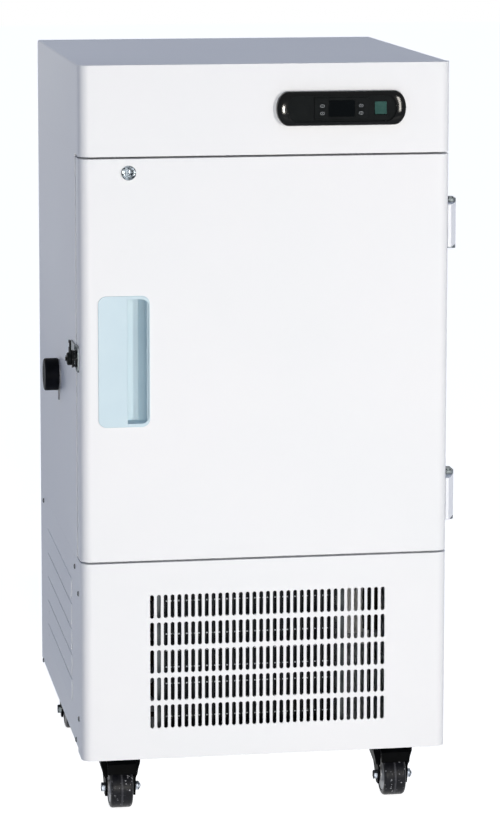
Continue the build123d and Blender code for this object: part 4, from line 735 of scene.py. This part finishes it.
# Castors: nylon tyre with a lighter middle band, side covers (grey in front, black behind as
# painted shade), apron of the fork, plated axle head and domed nut (darker behind as painted
# shade), swivel race
castor = {
    "radius": 31.75, "half": 17.0, "hubHalf": 19.6, "bore": 4.05, "edge": 5.0,
    "coverRadius": 24.0, "band": 1.6, "bandEdge": 0.3, "axleZ": 31.75, "trail": 28.0,
    "footHalf": 23.0, "headAcross": 14.2, "headHeight": 5.5, "nutHeight": 5.1, "nutDome": 3.2,
    "nutSteps": 72, "raceRadius": 26.0, "raceLow": 86.0, "raceHigh": 95.0,
    # (half width, height) down the edge of the plate between the fork's legs, its ears
    # hanging beside the tyre
    "apron": [(29.0, 85.5), (29.0, 69.0), (25.6, 50.0), (22.0, 48.0), (18.8, 49.0), (18.8, 65.2)],
    "crownFront": 35.5, "sheet": 2.4,
    "places": {"front_left": (-207.5, -185.5), "front_right": (211.5, -185.5),
               "rear_left": (-227.0, 259.5), "rear_right": (231.0, 259.5)},
}


def tyreProfile():
    radius, half, edge = castor["radius"] - 0.12, castor["half"], castor["edge"]
    cover = castor["coverRadius"]
    inner = [(cover - 2, half - 3.0), (cover, half - 2.4), (cover + 0.8, half - 0.4),
             (cover + 1.6, half)]
    corner = arcPoints(radius - edge, half - edge, edge, 90, 0, 8)
    right = inner + corner
    return right + [(r, -h) for r, h in reversed(right)]


def coverProfile(side):
    half, hub, cover = castor["half"], castor["hubHalf"], castor["coverRadius"]
    points = [(castor["bore"], hub), (8.6, hub), (9.6, hub - 0.8), (10.0, half - 0.2),
              (12.0, half - 1.0), (20.5, half - 1.4), (21.5, half - 0.9),
              (cover - 0.8, half - 0.9), (cover - 0.1, half - 1.5), (cover - 0.1, half - 3.0),
              (castor["bore"], half - 3.0)]
    return [(r, side * h) for r, h in points]


def hexNut(centre, axis, height, dome):
    # chamfered hexagon, domed over when dome is given
    bm = bmesh.new()
    place = placement(centre, axis)
    steps = castor["nutSteps"]
    across = castor["headAcross"] / 2
    flat = across * math.cos(math.pi / 6)
    rows = []

    def hexRadius(a):
        return flat / math.cos((a % (math.pi / 3)) - math.pi / 6)

    profile = [(None, 0.0), (None, height - 1.0), (flat - 0.1, height)]
    if dome:
        profile += [(flat - 0.9, height), (flat - 1.2, height + 0.3)]
        profile += [((flat - 1.2) * math.cos(math.radians(b)),
                     height + 0.3 + dome * math.sin(math.radians(b))) for b in (20, 40, 60, 78)]
    for limit, along in profile:
        row = []
        for i in range(steps):
            a = 2 * math.pi * i / steps
            reach = hexRadius(a) if limit is None else min(hexRadius(a), limit)
            row.append(bm.verts.new(place @ Vector((reach * math.cos(a), reach * math.sin(a),
                                                    along))))
        rows.append(row)
    skin(bm, rows)
    bm.faces.new(rows[-1])
    return bm


def makeCastor(corner, x, y):
    axle = (x, y - castor["trail"], castor["axleZ"])
    wheelBody, swivelBody = "wheel_" + corner, "swivel_" + corner
    tyre = addPiece("tyre_" + corner, finishMesh(turned(tyreProfile(), axle, (1, 0, 0), 96, True)),
                    "mouldedBlackNylon", wheelBody, 40.0)
    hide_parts("castor_wheel_" + corner)
    radius, half, edge = castor["radius"], castor["band"], castor["bandEdge"]
    band = [(radius - edge, -half), (radius, -half + edge), (radius, half - edge),
            (radius - edge, half)]
    bandPiece = addPiece("treadBand_" + corner, finishMesh(turned(band, axle, (1, 0, 0), 96)),
                         "lightBandNylon", wheelBody)
    covers = joined([turned(coverProfile(side), axle, (1, 0, 0), 72, True) for side in (-1, 1)])
    isFront = corner.startswith("front")
    # the rear castors take darker covers and nuts: painted shade under the cabinet
    coverFinishShadedBehind = "mouldedGreyNylon" if isFront else "mouldedBlackNylon"
    nutFinishShadedBehind = "paleZincWithPaintedHighlights" if isFront else "darkZincAndPaintedShade"
    addPiece("wheelCovers_" + corner, covers, coverFinishShadedBehind, wheelBody, 40.0)
    apron = castor["apron"]
    outline = [(x + side * apron[row][0], apron[row][1]) for side, rows in
               ((1, range(len(apron))), (-1, reversed(range(len(apron))))) for row in rows]
    front = y - castor["crownFront"]
    addPiece("forkApron_" + corner, finishMesh(prism(outline, front + castor["sheet"],
                                                             front)),
                     "stovedBlackSteel", swivelBody)
    foot = castor["footHalf"]
    bolts = joined([hexNut((x - foot, axle[1], axle[2]), (-1, 0, 0), castor["headHeight"], 0),
                    hexNut((x + foot, axle[1], axle[2]), (1, 0, 0), castor["nutHeight"],
                           castor["nutDome"])])
    addPiece("axleNuts_" + corner, bolts, nutFinishShadedBehind, swivelBody, 30.0)
    low, high, race = castor["raceLow"], castor["raceHigh"], castor["raceRadius"]
    raceProfile = [(race - 3, low + 0.2), (race + 0.3, low + 0.2), (race + 0.9, low + 1.5),
                   (race + 0.9, low + 3.0), (race + 0.1, low + 3.8), (race + 0.1, low + 4.8),
                   (race + 1.0, low + 5.6), (race + 1.0, high - 1.4), (race + 0.2, high - 0.1)]
    raceMesh = finishMesh(turned(raceProfile, (x, y, 0), (0, 0, 1), 72))
    addPiece("swivelRace_" + corner, raceMesh, "stovedBlackSteel", "cabinet", 40.0)


for corner, (x, y) in castor["places"].items():
    makeCastor(corner, x, y)
print("castors made")

# Condenser tubes between the fins, its folded side flanges, and the filter drier's shell
condenser = {"left": -141.0, "right": 116.0, "y": -229.4, "firstTube": 141.5, "pitch": 25.4,
             "rows": 8, "radius": 1.7, "drier": (179.0, -215.5, 262.0), "drierRadius": 14.3,
             "drierLength": 84.0, "flanges": ((-157.0, -144.4), (119.4, 132.0)),
             "flangeFront": -239.5, "flangeSheet": 1.5, "flangeLow": 119.5, "flangeHigh": 352.0,
             "flangeCorner": 2.0, "flangeEdge": 0.3}
tubeLength = condenser["right"] - condenser["left"]
tubeProfile = [(0, 0), (condenser["radius"], 0), (condenser["radius"], tubeLength),
               (0, tubeLength)]
tubes = [turned(tubeProfile, (condenser["left"], condenser["y"],
                              condenser["firstTube"] + row * condenser["pitch"]), (1, 0, 0), 24)
         for row in range(condenser["rows"])]
addPiece("condenserTubes", joined(tubes), "drawnAluminiumTube", "cabinet")
flangeZ = (condenser["flangeLow"] + condenser["flangeHigh"]) / 2
flangeHalf = (condenser["flangeHigh"] - condenser["flangeLow"]) / 2
flangeEdge = condenser["flangeEdge"]
flangeParts = [plate([roundedLoop((x0 + x1) / 2, flangeZ, (x1 - x0) / 2 - cut, flangeHalf - cut,
                                  condenser["flangeCorner"], condenser["flangeFront"] + back)
                      for cut, back in ((0, condenser["flangeSheet"]), (0, flangeEdge),
                                        (flangeEdge, 0))])
               for x0, x1 in condenser["flanges"]]
addPiece("condenserFlanges", joined(flangeParts), "paintedFlangeSteel", "cabinet")
drierR, drierL = condenser["drierRadius"], condenser["drierLength"]
drierProfile = [(0, -0.1), (5.0, -0.1), (8.0, 3.0), (drierR, 9.0), (drierR, drierL - 9.0),
                (8.0, drierL - 3.0), (5.0, drierL + 0.1), (0, drierL + 0.1)]
drierMesh = finishMesh(turned(drierProfile, condenser["drier"], (0, 0, 1), 48))
addPiece("filterDrierShell", drierMesh, "blackedCopper", "cabinet", 50.0)
print("condenser made")

# Floor, world and lights
studio = {
    "floorSize": 40.0, "floorColour": "#d6d6d6", "floorLift": 0.9, "backdrop": "#ffffff",
    "horizon": "#e4e5e7", "zenith": "#3f7dcc", "ambientStrength": 0.4,
    "lampColour": "#fffaf1",
}
# name: (power in watts, (width, height), place, what it is aimed at, spread in degrees), with
# sizes and places in metres
lamps = {
    "frontStrip": (31.2, (0.24, 0.5), (-0.6, -5.2, 0.62), (0.0, 0.0, 0.1), 100.0),
    "rightStrip": (75.5, (0.25, 1.3), (2.3, -4.2, 1.1), (0.0, 0.0, 0.5), 180.0),
    "rimSpot": (1.35, (0.5, 0.5), (-1.6, 4.2, 1.35), (-0.27, 0.0, 1.2), 22.0),
}


def seenRays(tree):
    # 1 for what the camera sees itself, in a reflection or through a clear piece, else 0
    rays = addNode(tree, "ShaderNodeLightPath")
    seen = addNode(tree, "ShaderNodeMath", {"operation": "MAXIMUM"},
                   {0: rays.outputs["Is Camera Ray"], 1: rays.outputs["Is Glossy Ray"]})
    seen = addNode(tree, "ShaderNodeMath", {"operation": "MAXIMUM"},
                   {0: seen.outputs[0], 1: rays.outputs["Is Transmission Ray"]})
    return seen.outputs[0]


def makeFloor():
    bm = bmesh.new()
    bmesh.ops.create_grid(bm, x_segments=8, y_segments=8, size=studio["floorSize"] / 2)
    mesh = bpy.data.meshes.new("studioFloor")
    bm.to_mesh(mesh)
    bm.free()
    material, tree, shader = newMaterial("paintedStudioFloor")
    shader.inputs["Base Color"].default_value = toLinear(studio["floorColour"])
    shader.inputs["Roughness"].default_value = 0.9
    shader.inputs["Specular IOR Level"].default_value = 0.0
    shader.inputs["Emission Color"].default_value = toLinear(studio["backdrop"])
    lift = addNode(tree, "ShaderNodeMath", {"operation": "MULTIPLY", 1: studio["floorLift"]},
                   {0: seenRays(tree)})
    tree.links.new(lift.outputs[0], shader.inputs["Emission Strength"])
    mesh.materials.append(material)
    floor = addObject("studioFloor", mesh)


def makeWorld():
    world = bpy.data.worlds.new("studioWorld")
    bpy.context.scene.world = world
    world.use_nodes = True
    tree = world.node_tree
    tree.nodes.clear()
    direction = addNode(tree, "ShaderNodeTexCoord").outputs["Generated"]
    height = addNode(tree, "ShaderNodeSeparateXYZ", links={"Vector": direction})
    sky = addNode(tree, "ShaderNodeValToRGB", links={"Fac": height.outputs["Z"]})
    sky.color_ramp.elements[0].color = toLinear(studio["horizon"])
    sky.color_ramp.elements[1].color = toLinear(studio["zenith"])
    ambient = addNode(tree, "ShaderNodeBackground", {"Strength": studio["ambientStrength"]},
                      {"Color": sky.outputs["Color"]})
    backdrop = addNode(tree, "ShaderNodeBackground", {"Color": toLinear(studio["backdrop"]),
                                                      "Strength": 1.0})
    mix = addNode(tree, "ShaderNodeMixShader", links={
        0: seenRays(tree), 1: ambient.outputs[0], 2: backdrop.outputs[0]})
    addNode(tree, "ShaderNodeOutputWorld", links={"Surface": mix.outputs[0]})


def addLamp(name, power, size, place, aim, spread):
    lamp = bpy.data.lights.new(name, "AREA")
    lamp.energy = power
    lamp.shape = "RECTANGLE"
    lamp.size, lamp.size_y = size
    lamp.spread = math.radians(spread)
    holder = addObject(name, lamp)
    lamp.color = toLinear(studio["lampColour"])[:3]
    holder.location = place
    holder.visible_glossy = place[1] < 0  # no glare of the lamp behind along the side
    holder.rotation_euler = (Vector(aim) - Vector(place)).to_track_quat("-Z", "Y").to_euler()


makeFloor()
makeWorld()
for name, settings in lamps.items():
    addLamp(name, *settings)
bpy.context.scene.view_settings.view_transform = "Standard"
print("studio made")

# Camera: higher than the cabinet's top and to its left, the frame shifted down
camera = {"place": (-776.56, -4865.28, 1453.12), "yaw": 8.9923, "pitch": 7.3706,
          "lens": 137.323, "sensor": 36.0, "shift": (0.02504, -0.2), "farEnd": 60.0}
cameraData = bpy.data.cameras.new("camera")
cameraData.lens = camera["lens"]
cameraData.sensor_width = camera["sensor"]
cameraData.shift_x, cameraData.shift_y = camera["shift"]
cameraData.clip_end = camera["farEnd"]
cameraObject = addObject("camera", cameraData)
cameraObject.location = Vector(camera["place"]) * mm
cameraObject.rotation_euler = (math.radians(90 - camera["pitch"]), 0, math.radians(-camera["yaw"]))
bpy.context.scene.camera = cameraObject
print("camera set")
